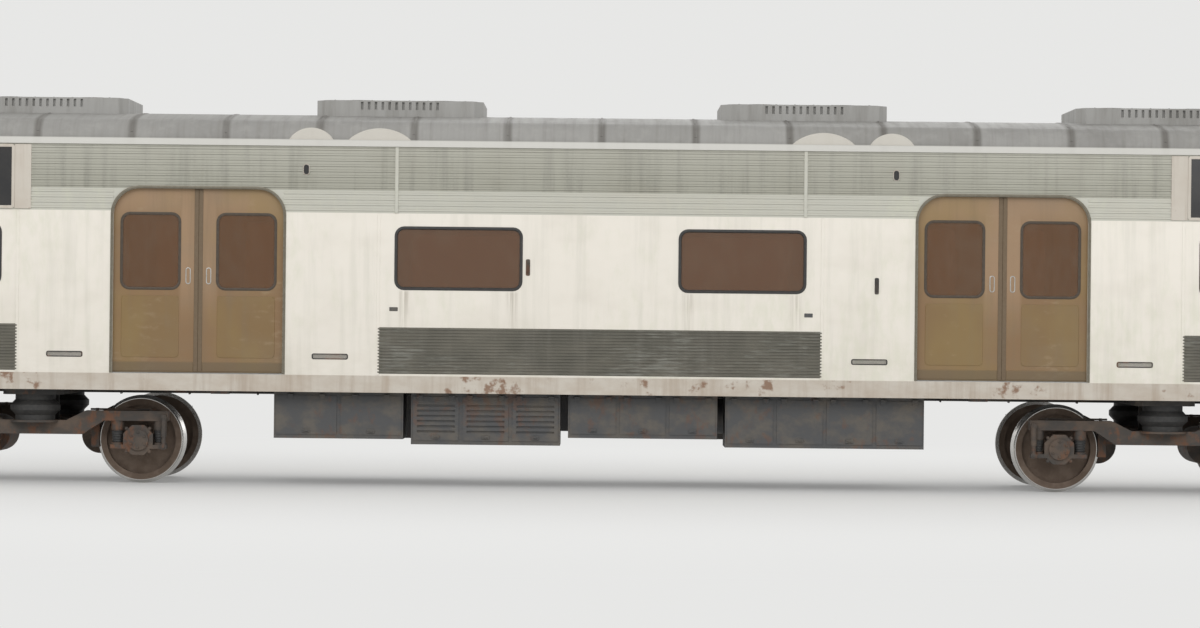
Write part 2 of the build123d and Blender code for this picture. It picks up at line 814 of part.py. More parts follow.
# Draught screens at the bench ends, a pole from floor to ceiling at the edge of each screen, and a rail
# over the front of each bench, held by collars on the poles
screen_shift = {bench_mid: 1, bench_start: -1, bench_stop: 1}
screen_centres = [
    turn * (x + shift * (seam + plate_thick / 2)) for x, shift in screen_shift.items() for turn in (-1, 1)
]
pole_y = front_y - pole_r - fit_gap
with BuildPart() as draught_screens:
    with BuildSketch(Plane.XY.offset(floor_top)):
        for x in screen_centres:
            with GridLocations(0, wall_inner + front_y, 1, 2):
                with Locations((x, 0)):
                    Rectangle(plate_thick, bench_depth)
    extrude(amount=screen_height)
draught_screens.part.label = "draught_screens"
save("draught_screens", draught_screens.part)
with BuildPart() as grab_rails:
    with BuildSketch(Plane.XY.offset(floor_top)):
        for x in screen_centres:
            with Locations((x, -pole_y), (x, pole_y)):
                Circle(pole_r)
    extrude(amount=ceiling_height - plate_thick)
    rail_z = floor_top + rail_height
    pole_shift = seam + plate_thick / 2
    for start, end in bench_spans:
        pole_places = [start - pole_shift, end + pole_shift]
        for side in sides.values():
            with BuildSketch(Plane.YZ.offset(pole_places[0])):
                with Locations((side * pole_y, rail_z)):
                    Circle(rail_r)
            rail = extrude(amount=pole_places[1] - pole_places[0], mode=Mode.PRIVATE)
            with BuildSketch(Plane.XY.offset(rail_z - collar_half)):
                with Locations(*[(x, side * pole_y) for x in pole_places]):
                    Circle(pole_r + fit_gap + collar_wall)
            collars = extrude(amount=2 * collar_half, mode=Mode.PRIVATE)
            with BuildSketch(Plane.XY.offset(rail_z - collar_half)):
                with Locations(*[(x, side * pole_y) for x in pole_places]):
                    Circle(pole_r + fit_gap)
            bores = extrude(amount=2 * collar_half, mode=Mode.PRIVATE)
            add(rail + collars - bores)
grab_rails.part.label = "grab_rails"
save("grab_rails", grab_rails.part)

# Marker lamps at the top corners of the end walls
lamp_z = gutter_top - lamp_drop
with BuildPart() as marker_lamps:
    for end in ends.values():
        with BuildSketch(end_plane(end, body_half_length)):
            with Locations((-lamp_centre, lamp_z), (lamp_centre, lamp_z)):
                SlotOverall(lamp_length, lamp_width)
        extrude(amount=lamp_reach)
marker_lamps.part.label = "marker_lamps"
save("marker_lamps", marker_lamps.part)

# Couplers: draft gear box under the underframe, shank, and a head with a cone and a cup
coupler_z = ladder_bottom - coupler_drop
coupler_face = body_half_length + coupler_reach
draft_base = coupler_z - draft_drop
flange_half = centre_rail_y + centre_rail_width / 2
with BuildPart() as couplers:
    for end in ends.values():
        with BuildSketch(end_plane(end, inner_half_length - draft_length)):
            with Locations((0, (ladder_bottom + draft_base) / 2)):
                Rectangle(2 * draft_half_width, ladder_bottom - draft_base)
            with Locations((0, ladder_bottom - plate_thick / 2)):
                Rectangle(2 * flange_half, plate_thick)
        extrude(amount=draft_length)
        with BuildSketch(end_plane(end, inner_half_length)):
            with Locations((0, coupler_z)):
                Circle(shank_r)
        extrude(amount=coupler_face - head_length - inner_half_length)
        with BuildSketch(end_plane(end, coupler_face - head_length)):
            with Locations((0, coupler_z)):
                Rectangle(head_width / 2, head_height / 2)
        with BuildSketch(end_plane(end, coupler_face - head_length / 2)):
            with Locations((0, coupler_z)):
                Rectangle(head_width, head_height)
        loft()
        with BuildSketch(end_plane(end, coupler_face - head_length / 2)):
            with Locations((0, coupler_z)):
                Rectangle(head_width, head_height)
        extrude(amount=head_length / 2)
        with BuildSketch(end_plane(end, coupler_face)):
            with Locations((cone_offset, coupler_z)):
                Circle(cone_r)
        extrude(amount=cone_length, taper=22)
        with BuildSketch(end_plane(end, coupler_face)):
            with Locations((-cone_offset, coupler_z)):
                Circle(cone_r + run_gap)
        extrude(amount=-cone_length, taper=22, mode=Mode.SUBTRACT)
couplers.part.label = "couplers"
save("couplers", couplers.part)

# Underfloor equipment boxes in two rows. Columns: length, height, number of lid panels, louvred
box_rows = {
    -1: [(1300, 470, 2, False), (1500, 520, 3, True), (1500, 440, 3, False), (2000, 520, 4, False)],
    1: [(1900, 520, 3, False), (1700, 430, 3, True), (1400, 500, 2, False), (1300, 460, 2, False)],
}
box_gap = 80
box_width = 640
box_centre_y = 870
lid_depth = 8
lid_margin = 40
slat_pitch = 52
slat_width = 22
with BuildPart() as equipment_boxes:
    for side, row in box_rows.items():
        start = -(sum(length for length, height, lids, louvred in row) + box_gap * (len(row) - 1)) / 2
        for length, height, lids, louvred in row:
            middle = start + length / 2
            start += length + box_gap
            box_bottom = ladder_bottom - height
            with BuildSketch(side_plane(side, box_centre_y - box_width / 2)):
                with Locations((-side * middle, ladder_bottom - height / 2)):
                    Rectangle(length, height)
            extrude(amount=box_width)
            with BuildSketch(side_plane(side, box_centre_y + box_width / 2)):
                with Locations((-side * middle, ladder_bottom - height / 2)):
                    with GridLocations(length / lids, 0, lids, 1):
                        Rectangle(length / lids - lid_margin, height - 2 * lid_margin)
            extrude(amount=lid_depth)
            if louvred:
                slats = int((height - 4 * lid_margin) // slat_pitch)
                with BuildSketch(side_plane(side, box_centre_y + box_width / 2 - lid_depth)):
                    with Locations((-side * middle, ladder_bottom - height / 2)):
                        with GridLocations(length / lids, slat_pitch, lids, slats):
                            Rectangle(length / lids - 3 * lid_margin, slat_width)
                extrude(amount=2 * lid_depth, mode=Mode.SUBTRACT)
equipment_boxes.part.label = "equipment_boxes"
save("equipment_boxes", equipment_boxes.part)

# Air reservoirs on straps between the boxes. Columns: centre x, length
reservoir_table = [(-1200, 1400), (1200, 1400)]
tank_r = 190
tank_dish = 90
strap_width = 50
strap_height = 40
with BuildPart() as air_reservoirs:
    for x, length in reservoir_table:
        tank_z = ladder_bottom - tank_r - strap_height
        half = length / 2
        with BuildSketch(Plane(origin=(x, 0, tank_z), x_dir=(1, 0, 0), z_dir=(0, -1, 0))):
            with BuildLine():
                Polyline(
                    (-half, 0),
                    (-half, tank_r / 2),
                    (-half + tank_dish, tank_r),
                    (half - tank_dish, tank_r),
                    (half, tank_r / 2),
                    (half, 0),
                    close=True,
                )
            make_face()
        revolve(axis=Axis((x, 0, tank_z), (1, 0, 0)))
        with BuildSketch(Plane.XY.offset(tank_z)):
            with Locations((x, 0)):
                with GridLocations(half, 2 * (tank_r - strap_width / 2), 2, 2):
                    Rectangle(strap_width, strap_width)
        extrude(amount=ladder_bottom - plate_thick - tank_z)
        with BuildSketch(Plane.XY.offset(ladder_bottom - plate_thick)):
            with Locations((x, 0)):
                with GridLocations(half, 0, 2, 1):
                    Rectangle(strap_width, 2 * flange_half)
        extrude(amount=plate_thick)
air_reservoirs.part.label = "air_reservoirs"
save("air_reservoirs", air_reservoirs.part)

# Wheelset: half profile of axle and wheel. Columns: distance from the middle, radius
rim_r = tread_r - 70
hub_r = 135
hub_back = wheel_back - 20
hub_face = wheel_back + wheel_width + 20
web_back = wheel_back + 55
web_face = web_back + 26
wheel_face = wheel_back + wheel_width
wheelset_profile = [
    (0, 0),
    (0, axle_r),
    (hub_back, axle_r),
    (hub_back, hub_r),
    (web_back, hub_r),
    (web_back, rim_r),
    (wheel_back, rim_r),
    (wheel_back, flange_r),
    (wheel_back + flange_height, flange_r),
    (wheel_back + 1.5 * flange_height, tread_r),
    (wheel_face, tread_r - flange_height / 7),
    (wheel_face, rim_r),
    (web_face, rim_r),
    (web_face, hub_r),
    (hub_face, hub_r),
    (hub_face, journal_r),
    (journal_end, journal_r),
    (journal_end, 0),
]

# Side frame of a bogie, seen from the side: level over the axle boxes and dropped in the middle
dip_half = 320
rise_half = 520
belly_half = 480
belly_run = 700
side_frame_profile = [
    (dip_half, side_frame_low),
    (rise_half, side_frame_top),
    (side_frame_half, side_frame_top),
    (side_frame_half, side_frame_low),
    (belly_run, side_frame_low),
    (belly_half, transom_bottom),
]
mirrored_profile = [(-x, z) for x, z in reversed(side_frame_profile)]
box_inner_y = side_frame_y - side_frame_width / 2
box_outer_y = side_frame_y + box_reach
spring_foot = 20
spring_neck = 8
spring_cup = 90
spring_profile = [
    (0, wing_z),
    (spring_r, wing_z),
    (spring_r, wing_z + spring_foot),
    (spring_r - spring_foot, wing_z + spring_foot),
    (spring_r - spring_neck, side_frame_low - spring_cup),
    (spring_r, side_frame_low - spring_cup),
    (spring_r, side_frame_low),
    (0, side_frame_low),
]
air_spring_height = bolster_bottom - fit_gap - side_frame_low
bellows_r = air_spring_r - 50
brake_reach = half_wheelbase - tread_r - run_gap

for name, end in ends.items():
    bogie_x = end * bogie_centre
    axle_places = {"1": bogie_x - half_wheelbase, "2": bogie_x + half_wheelbase}
    for number, axle_x in axle_places.items():
        with BuildPart() as wheelset:
            with BuildSketch(Plane(origin=(axle_x, 0, axle_z), x_dir=(0, 1, 0), z_dir=(-1, 0, 0))):
                with BuildLine():
                    Polyline(*wheelset_profile, close=True)
                make_face()
                mirror(about=Plane.YZ)
            revolve(axis=Axis((axle_x, 0, axle_z), (0, 1, 0)))
        wheelset.part.label = f"wheelset_{name}{number}"
        save(f"wheelset_{name}{number}", wheelset.part)

    # Bogie frame: two side frames, the transom bored for the pivot, spring seats and brake arms
    with BuildPart() as bogie_frame:
        for side in sides.values():
            frame_plane = Plane(
                origin=(bogie_x, side * box_inner_y, 0), x_dir=(-side, 0, 0), z_dir=(0, side, 0)
            )
            with BuildSketch(frame_plane):
                with BuildLine():
                    Polyline(*side_frame_profile, *mirrored_profile, close=True)
                make_face()
            extrude(amount=side_frame_width)
            brake_inner_y = brake_y - brake_width / 2
            brake_plane = Plane(
                origin=(bogie_x, side * brake_inner_y, 0), x_dir=(-side, 0, 0), z_dir=(0, side, 0)
            )
            with BuildSketch(brake_plane):
                for turn in (-1, 1):
                    with Locations((turn * brake_reach / 2, (transom_bottom + transom_top) / 2)):
                        Rectangle(brake_reach, transom_top - transom_bottom)
                    with Locations((turn * (brake_reach - 0.1 * tread_r), axle_z + 0.1 * tread_r)):
                        Rectangle(0.2 * tread_r, 0.6 * tread_r)
                    with Locations((turn * half_wheelbase, axle_z)):
                        Circle(tread_r + run_gap, mode=Mode.SUBTRACT)
            extrude(amount=brake_width)
        with BuildSketch(Plane.XY.offset(transom_bottom)):
            with Locations((bogie_x, 0)):
                Rectangle(2 * transom_half, 2 * side_frame_y)
                Circle(pivot_r + fit_gap, mode=Mode.SUBTRACT)
        extrude(amount=transom_top - transom_bottom)
        with BuildSketch(Plane.XY.offset(side_frame_low - plate_thick)):
            with Locations((bogie_x, -side_frame_y), (bogie_x, side_frame_y)):
                Circle(air_spring_r)
        extrude(amount=plate_thick)
    bogie_frame.part.label = f"bogie_frame_{name}"
    save(f"bogie_frame_{name}", bogie_frame.part)

    # Air springs: a bellows between two plates, standing on the side frames
    with BuildPart() as air_springs:
        for side in sides.values():
            spring_plane = Plane(
                origin=(bogie_x, side * side_frame_y, side_frame_low), x_dir=(1, 0, 0), z_dir=(0, -1, 0)
            )
            with BuildSketch(spring_plane):
                with BuildLine():
                    Polyline(
                        (0, 0),
                        (bellows_r, 0),
                        (bellows_r, air_spring_height / 5),
                        (air_spring_r, air_spring_height * 2 / 5),
                        (air_spring_r, air_spring_height * 3 / 5),
                        (bellows_r, air_spring_height * 4 / 5),
                        (bellows_r, air_spring_height),
                        (0, air_spring_height),
                        close=True,
                    )
                make_face()
            revolve(axis=Axis((bogie_x, side * side_frame_y, 0), (0, 0, 1)))
    air_springs.part.label = f"air_springs_{name}"
    save(f"air_springs_{name}", air_springs.part)

    # Axle boxes: body with a cap, two wings, and a rubber cone spring with its cup on each wing
    with BuildPart() as axle_boxes:
        for side in sides.values():
            for axle_x in axle_places.values():
                with BuildSketch(side_plane(side, box_inner_y)):
                    with Locations((-side * axle_x, axle_z)):
                        RegularPolygon(box_half, 8, major_radius=False, rotation=22.5)
                    with Locations((-side * axle_x, wing_z - plate_thick)):
                        Rectangle(2 * wing_reach, 2 * plate_thick)
                extrude(amount=box_outer_y - box_inner_y)
                with BuildSketch(side_plane(side, box_outer_y)):
                    with Locations((-side * axle_x, axle_z)):
                        Circle(box_cap_r)
                extrude(amount=plate_thick)
                for x in (axle_x - spring_x, axle_x + spring_x):
                    spring_y = side * side_frame_y
                    with BuildSketch(Plane(origin=(x, spring_y, 0), x_dir=(1, 0, 0), z_dir=(0, -1, 0))):
                        with BuildLine():
                            Polyline(*spring_profile, close=True)
                        make_face()
                    revolve(axis=Axis((x, spring_y, 0), (0, 0, 1)))
                with BuildSketch(side_plane(side, box_inner_y)):
                    with Locations((-side * axle_x, axle_z)):
                        Circle(journal_r + fit_gap)
                extrude(amount=journal_end - box_inner_y + run_gap, mode=Mode.SUBTRACT)
    axle_boxes.part.label = f"axle_boxes_{name}"
    save(f"axle_boxes_{name}", axle_boxes.part)

    # Motors, hung on the transom, each with a gear case round its axle
    with BuildPart() as motors:
        for turn in (-1, 1):
            motor_centre = bogie_x + turn * motor_x
            axle_x = bogie_x + turn * half_wheelbase
            with BuildSketch(side_plane(turn, -motor_half)):
                with Locations((-turn * motor_centre, motor_z)):
                    Circle(motor_r)
            extrude(amount=gear_near + motor_half)
            with BuildSketch(Plane.XY.offset(transom_bottom + plate_thick)):
                with Locations((bogie_x + turn * (transom_half + motor_x) / 2, 0)):
                    Rectangle(motor_x - transom_half, motor_half)
            extrude(amount=transom_top - transom_bottom - 2 * plate_thick)
            with BuildSketch(side_plane(turn, gear_near)):
                with Locations((-turn * axle_x, axle_z)):
                    Circle(gear_case_r)
                with Locations((-turn * motor_centre, motor_z)):
                    Circle(motor_r * 2 / 3)
                make_hull()
                with Locations((-turn * axle_x, axle_z)):
                    Circle(axle_r + run_gap, mode=Mode.SUBTRACT)
            extrude(amount=gear_far - gear_near)
    motors.part.label = f"motors_{name}"
    save(f"motors_{name}", motors.part)
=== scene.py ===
"""The looks of the metro car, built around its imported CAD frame. Lengths are in metres."""

import itertools
import json
import math

import bmesh
import bpy
from mathutils import Matrix, Vector


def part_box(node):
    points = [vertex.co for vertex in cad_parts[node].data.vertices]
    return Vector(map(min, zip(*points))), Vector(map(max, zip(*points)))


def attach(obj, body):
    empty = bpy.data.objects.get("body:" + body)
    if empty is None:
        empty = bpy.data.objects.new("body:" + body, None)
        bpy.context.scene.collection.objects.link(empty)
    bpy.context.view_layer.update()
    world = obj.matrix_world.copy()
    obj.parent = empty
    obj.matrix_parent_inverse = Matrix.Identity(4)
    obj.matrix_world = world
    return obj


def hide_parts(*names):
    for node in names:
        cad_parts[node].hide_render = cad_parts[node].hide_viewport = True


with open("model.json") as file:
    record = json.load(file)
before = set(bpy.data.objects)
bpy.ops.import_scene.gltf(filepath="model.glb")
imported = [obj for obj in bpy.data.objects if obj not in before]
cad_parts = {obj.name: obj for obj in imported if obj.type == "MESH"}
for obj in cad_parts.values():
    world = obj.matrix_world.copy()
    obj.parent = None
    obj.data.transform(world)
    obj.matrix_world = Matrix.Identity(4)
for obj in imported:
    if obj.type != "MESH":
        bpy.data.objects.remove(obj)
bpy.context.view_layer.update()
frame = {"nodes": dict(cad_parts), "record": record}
scene = bpy.context.scene

SIDES = {"near": -1, "far": 1}
DOORS = ("a", "b")
HANDS = {"left": -1, "right": 1}
ENDS = {"a": -1, "b": 1}

# Levels and faces of the body, from the frame
half_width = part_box("side_sills")[1].y
floor_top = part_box("floor")[1].z
sill_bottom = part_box("side_sills")[0].z
door_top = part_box("pocket_linings")[1].z
gutter_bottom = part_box("roof")[0].z
body_half_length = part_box("end_walls")[1].x
inner_half_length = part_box("floor")[1].x
box_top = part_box("equipment_boxes")[1].z
wall_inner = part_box("seats")[1].y
rib_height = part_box("letterboards")[1].y - half_width
leaf_middle = (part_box("door_leaf_near_b_left")[0].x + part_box("door_leaf_near_b_right")[1].x) / 2

# Sizes that the frame's boxes don't give
RIB_ZONE = 0.225
POCKET_LENGTH = 0.955
GUTTER_HEIGHT = 0.075
FLANGE_HEIGHT = 0.028
LEAF_GLASS_OFFSET = 0.480
PRESSED_PANEL = (0.58, 0.62)
NOSE_WIDTH = 0.042
KICK_HEIGHT = 0.095
SEAM_PITCH = 0.94

# Edges sharper than this many degrees look sharp
SHARP = 35

ribs_bottom = door_top - RIB_ZONE
pressed_level = floor_top + 0.47


def islands(node):
    """The lowest and highest corners of each separate solid of a CAD node."""
    mesh = frame["nodes"][node].data
    welded, owner = {}, []
    for vertex in mesh.vertices:
        key = tuple(round(value, 5) for value in vertex.co)
        owner.append(welded.setdefault(key, len(welded)))
    parent = list(range(len(welded)))

    def root(index):
        while parent[index] != index:
            parent[index] = parent[parent[index]]
            index = parent[index]
        return index

    for polygon in mesh.polygons:
        first = root(owner[polygon.vertices[0]])
        for vertex in polygon.vertices[1:]:
            parent[root(owner[vertex])] = first
    groups = {}
    for key, index in welded.items():
        groups.setdefault(root(index), []).append(key)
    boxes = []
    for points in groups.values():
        low = Vector([min(p[axis] for p in points) for axis in range(3)])
        high = Vector([max(p[axis] for p in points) for axis in range(3)])
        boxes.append((low, high))
    return sorted(boxes, key=lambda box: (round(box[0].y, 3), round(box[0].x, 3), round(box[0].z, 3)))


def middle(box):
    """The centre of a box of two corners."""
    return (box[0] + box[1]) / 2


def extent(box):
    """The size of a box along each axis."""
    return box[1] - box[0]


def outer(box, axis):
    """How far from the middle of the car a box reaches that lies on one side of it."""
    return max(box[1][axis], -box[0][axis])


def inner(box, axis):
    """How far from the middle of the car a box starts that lies on one side of it."""
    return max(box[0][axis], -box[1][axis])


def sign(value):
    """Which side of zero a number lies on."""
    return 1 if value > 0 else -1


side_panes = [box for box in islands("windows") if extent(box).x > 0.5]
end_panes = [box for box in islands("windows") if extent(box).x < 0.1]


def add_node(tree, kind, inputs=None, **settings):
    """A new node, its settings given by name and its inputs by name or number."""
    node = tree.nodes.new(kind)
    for key, value in settings.items():
        setattr(node, key, value)
    for key, value in (inputs or {}).items():
        if isinstance(value, bpy.types.NodeSocket):
            tree.links.new(value, node.inputs[key])
        else:
            node.inputs[key].default_value = value
    return node


class Look:
    """A material, and short ways to the nodes that feed its shader."""

    def __init__(self, name, colour, roughness, metallic=0.0, **sockets):
        self.name = name
        self.material = bpy.data.materials.new(name)
        self.material.use_nodes = True
        self.material.diffuse_color = (*colour, 1)
        self.tree = self.material.node_tree
        self.shader = self.tree.nodes["Principled BSDF"]
        self.shader.inputs["Base Color"].default_value = (*colour, 1)
        self.shader.inputs["Roughness"].default_value = roughness
        self.shader.inputs["Metallic"].default_value = metallic
        for socket, value in sockets.items():
            self.shader.inputs[socket.replace("_", " ")].default_value = value
        self.colour = colour
        self.point = self.node("ShaderNodeTexCoord").outputs["Object"]
        self.normal = None

    def node(self, kind, inputs=None, **settings):
        """A new node of the material."""
        return add_node(self.tree, kind, inputs, **settings)

    def drive(self, socket, value):
        """Link a changing value to a socket of the shader."""
        self.tree.links.new(value, self.shader.inputs[socket])

    def stretched(self, stretch):
        """The point with each axis stretched."""
        return self.node("ShaderNodeMapping", {"Vector": self.point, "Scale": stretch}).outputs[0]

    def noise(self, scale, detail, stretch=(1, 1, 1)):
        """Noise from 0 to 1, with stretch larger along the axes where it changes faster."""
        inputs = {"Vector": self.stretched(stretch), "Scale": scale, "Detail": detail, "Roughness": 0.6}
        return self.node("ShaderNodeTexNoise", inputs).outputs["Fac"]

    def spots(self, scale):
        """The distance to the nearest of many scattered points."""
        inputs = {"Vector": self.stretched((1, 1, 1)), "Scale": scale}
        return self.node("ShaderNodeTexVoronoi", inputs).outputs["Distance"]

    def along(self, axis):
        """One coordinate of the point."""
        return self.node("ShaderNodeSeparateXYZ", {"Vector": self.point}).outputs[axis]

    def upward(self):
        """How far the surface faces up, from -1 to 1."""
        normal = self.node("ShaderNodeNewGeometry").outputs["Normal"]
        return self.node("ShaderNodeSeparateXYZ", {"Vector": normal}).outputs["Z"]

    def radius(self, centre, weight):
        """The distance from a centre, with a weight for each axis."""
        shift = self.point
        for operation, values in (("SUBTRACT", centre), ("MULTIPLY", weight)):
            shift = self.node("ShaderNodeVectorMath", {0: shift, 1: values}, operation=operation).outputs[0]
        return self.node("ShaderNodeVectorMath", {0: shift}, operation="LENGTH").outputs["Value"]

    def remap(self, value, low, high, new_low=0.0, new_high=1.0):
        """Value taken from one range to another, and held at its ends."""
        inputs = {"Value": value, "From Min": low, "From Max": high, "To Min": new_low, "To Max": new_high}
        return self.node("ShaderNodeMapRange", inputs, interpolation_type="SMOOTHSTEP").outputs["Result"]

    def combine(self, operation, first, second=0.0):
        """Two numbers combined by one operation."""
        return self.node("ShaderNodeMath", {0: first, 1: second}, operation=operation).outputs[0]

    def times(self, first, second):
        """The product of two numbers."""
        return self.combine("MULTIPLY", first, second)

    def size(self, value):
        """A number without its sign."""
        return self.combine("ABSOLUTE", value)

    def away(self, value, place):
        """How far a number is from a place."""
        return self.size(self.combine("SUBTRACT", value, place))

    def tint(self, amount, colour):
        """Blend another colour into the look, by an amount that changes over the surface."""
        base = self.colour if isinstance(self.colour, bpy.types.NodeSocket) else (*self.colour, 1)
        made = self.node("ShaderNodeMix", {"Factor": amount, 6: base, 7: (*colour, 1)}, data_type="RGBA")
        self.colour = made.outputs[2]
        self.drive("Base Color", self.colour)

    def stain(self, value, low, high, amount, colour):
        """Tint the look more as a value goes from low to high, up to an amount."""
        self.tint(self.remap(value, low, high, 0, amount), colour)

    def roughen(self, amount, low, high):
        """Roughness from low to high, by an amount that changes over the surface."""
        self.drive("Roughness", self.remap(amount, 0, 1, low, high))

    def raised(self, height, distance, strength):
        """Add relief of this height in metres to the surface."""
        inputs = {"Height": height, "Distance": distance, "Strength": strength}
        if self.normal is not None:
            inputs["Normal"] = self.normal
        self.normal = self.node("ShaderNodeBump", inputs).outputs["Normal"]
        self.drive("Normal", self.normal)

    def relief(self, scale, detail, distance, strength, stretch=(1, 1, 1)):
        """Add relief made of noise."""
        self.raised(self.noise(scale, detail, stretch), distance, strength)


def weather(look, streak_colour, dust_colour, streaks=0.4, dust=0.5, dust_top=1.9):
    """Rain streaks all over, blotches, and road dust that thins out with height."""
    streak = look.noise(1.0, 5, (9, 9, 0.55))
    look.stain(streak, 0.46, 0.74, streaks, streak_colour)
    blotch = look.noise(1.4, 3, (1, 1, 1.6))
    look.stain(blotch, 0.45, 0.75, streaks * 0.6, dust_colour)
    cloud = look.noise(3.0, 6, (1.2, 1.2, 2.2))
    height = look.remap(look.along("Z"), 0.5, dust_top, 1, 0)
    look.tint(look.times(look.times(height, look.remap(cloud, 0.3, 0.7)), dust), dust_colour)
    look.stain(look.upward(), 0.25, 0.9, dust * 0.8, dust_colour)
    return cloud


RUN_LENGTH = 0.62
RUN_WIDTH = 0.085


def window_runs(look):
    """Dirt that rain washes down the wall from the lower corners of the windows, from 0 to 1."""
    level = look.along("Z")
    sill = side_panes[0][0].z
    below = look.times(look.remap(level, sill - RUN_LENGTH, sill), look.remap(level, sill, sill - 0.05))
    beside = 0.0
    for axis, panes in ((0, side_panes), (1, end_panes)):
        distance = look.size(look.along(axis))
        starts = {round(inner(box, axis), 3) + RUN_WIDTH for box in panes}
        stops = {round(outer(box, axis), 3) - RUN_WIDTH for box in panes}
        for run in sorted(starts | stops):
            beside = look.combine("MAXIMUM", look.remap(look.away(distance, run), RUN_WIDTH, 0.01), beside)
    streak = look.remap(look.noise(1.0, 4, (34, 34, 1.1)), 0.34, 0.62)
    return look.times(look.times(below, beside), streak)


def side_paint_look():
    """Pale satin panels; above the smooth part the sides turn to bare ribbed steel."""
    look = Look("side_paint", (0.73, 0.69, 0.62), 0.42, 0.25)
    ribbed = look.remap(look.along("Z"), ribs_bottom - 0.003, ribs_bottom + 0.003)
    on_sides = look.remap(look.size(look.along("X")), inner_half_length, inner_half_length - 0.002)
    look.tint(look.times(ribbed, on_sides), (0.47, 0.465, 0.41))
    cloud = weather(look, (0.50, 0.49, 0.42), (0.46, 0.42, 0.34), 0.30, 0.40)
    stain = look.times(look.noise(0.5, 2, (1, 1, 0.8)), look.noise(5, 5, (2, 2, 0.8)))
    look.stain(stain, 0.22, 0.42, 0.35, (0.56, 0.57, 0.44))
    look.tint(look.times(window_runs(look), 0.55), (0.30, 0.265, 0.205))
    look.roughen(cloud, 0.30, 0.55)
    look.relief(1.1, 2, 0.006, 0.5, (1, 1, 1.4))
    look.relief(3.0, 2, 0.0003, 0.4, (3, 3, 130))
    return look


def ribbed_steel_look():
    """Ribbed steel, greenish grey, with dirt lying on the ribs."""
    look = Look("ribbed_steel", (0.34, 0.335, 0.285), 0.4, 0.45)
    cloud = weather(look, (0.20, 0.20, 0.17), (0.26, 0.25, 0.20), 0.55, 0.30, 4.2)
    look.stain(look.along("Z"), door_top, gutter_bottom, 0.25, (0.50, 0.49, 0.44))
    look.roughen(cloud, 0.32, 0.6)
    look.relief(2.0, 2, 0.0003, 0.5, (2, 2, 150))
    look.relief(1.3, 2, 0.003, 0.4)
    return look


def band_paint_look():
    """Dark grey-green fluted sheet, worn on the flutes and dusty between them."""
    look = Look("band_paint", (0.092, 0.088, 0.070), 0.5, 0.15)
    cloud = weather(look, (0.15, 0.14, 0.12), (0.22, 0.20, 0.16), 0.5, 0.55)
    scuff = look.times(look.noise(6, 6, (1, 1, 9)), look.noise(0.8, 3))
    look.stain(scuff, 0.27, 0.42, 0.6, (0.24, 0.24, 0.21))
    look.roughen(cloud, 0.38, 0.68)
    look.relief(40, 3, 0.0004, 0.4, (1, 1, 4))
    return look


def door_paint_look():
    """Ochre-brown paint: paler stiles and top, an olive pressed panel, grime towards the floor."""
    look = Look("door_paint", (0.205, 0.119, 0.052), 0.46, 0.0)
    level = look.along("Z")
    across = look.away(look.size(look.along("X")), leaf_middle)
    off_panel = look.away(across, LEAF_GLASS_OFFSET)
    off_level = look.away(level, pressed_level)
    width, height = PRESSED_PANEL
    inside = look.times(
        look.remap(off_panel, width / 2 + 0.002, width / 2 - 0.002),
        look.remap(off_level, height / 2 + 0.002, height / 2 - 0.002),
    )
    stile = look.times(look.remap(across, 0.21, 0.16), look.remap(level, 1.5, 2.2))
    upper = look.remap(level, 2.55, 2.9)
    look.tint(look.times(look.combine("MAXIMUM", stile, upper), 0.48), (0.37, 0.25, 0.155))
    look.tint(look.times(inside, 0.45), (0.165, 0.108, 0.031))
    cloud = weather(look, (0.17, 0.115, 0.06), (0.20, 0.155, 0.10), 0.45, 0.45)
    yellow = look.noise(1.1, 3, (1.2, 1, 0.7))
    look.stain(yellow, 0.42, 0.66, 0.45, (0.235, 0.160, 0.050))
    worn = look.times(look.noise(9, 7, (1, 1, 2.2)), look.noise(1.4, 2))
    look.stain(worn, 0.30, 0.46, 0.30, (0.33, 0.25, 0.155))
    kick_top = floor_top + KICK_HEIGHT
    look.stain(level, kick_top + 0.03, kick_top + 0.01, 0.55, (0.10, 0.078, 0.045))
    look.roughen(cloud, 0.34, 0.6)
    look.relief(1.6, 2, 0.003, 0.5, (1.4, 1, 1))
    look.relief(90, 2, 0.0002, 0.3)
    return look


def sill_paint_look():
    """Pale grey paint, dusty and stained with rust at the joints."""
    look = Look("sill_paint", (0.52, 0.48, 0.42), 0.55, 0.1)
    cloud = weather(look, (0.30, 0.23, 0.17), (0.40, 0.33, 0.26), 0.6, 0.7)
    rust = look.times(look.noise(7, 7), look.noise(1.1, 2))
    look.stain(rust, 0.33, 0.40, 0.8, (0.17, 0.075, 0.03))
    look.roughen(cloud, 0.45, 0.8)
    look.relief(25, 4, 0.0006, 0.5)
    return look


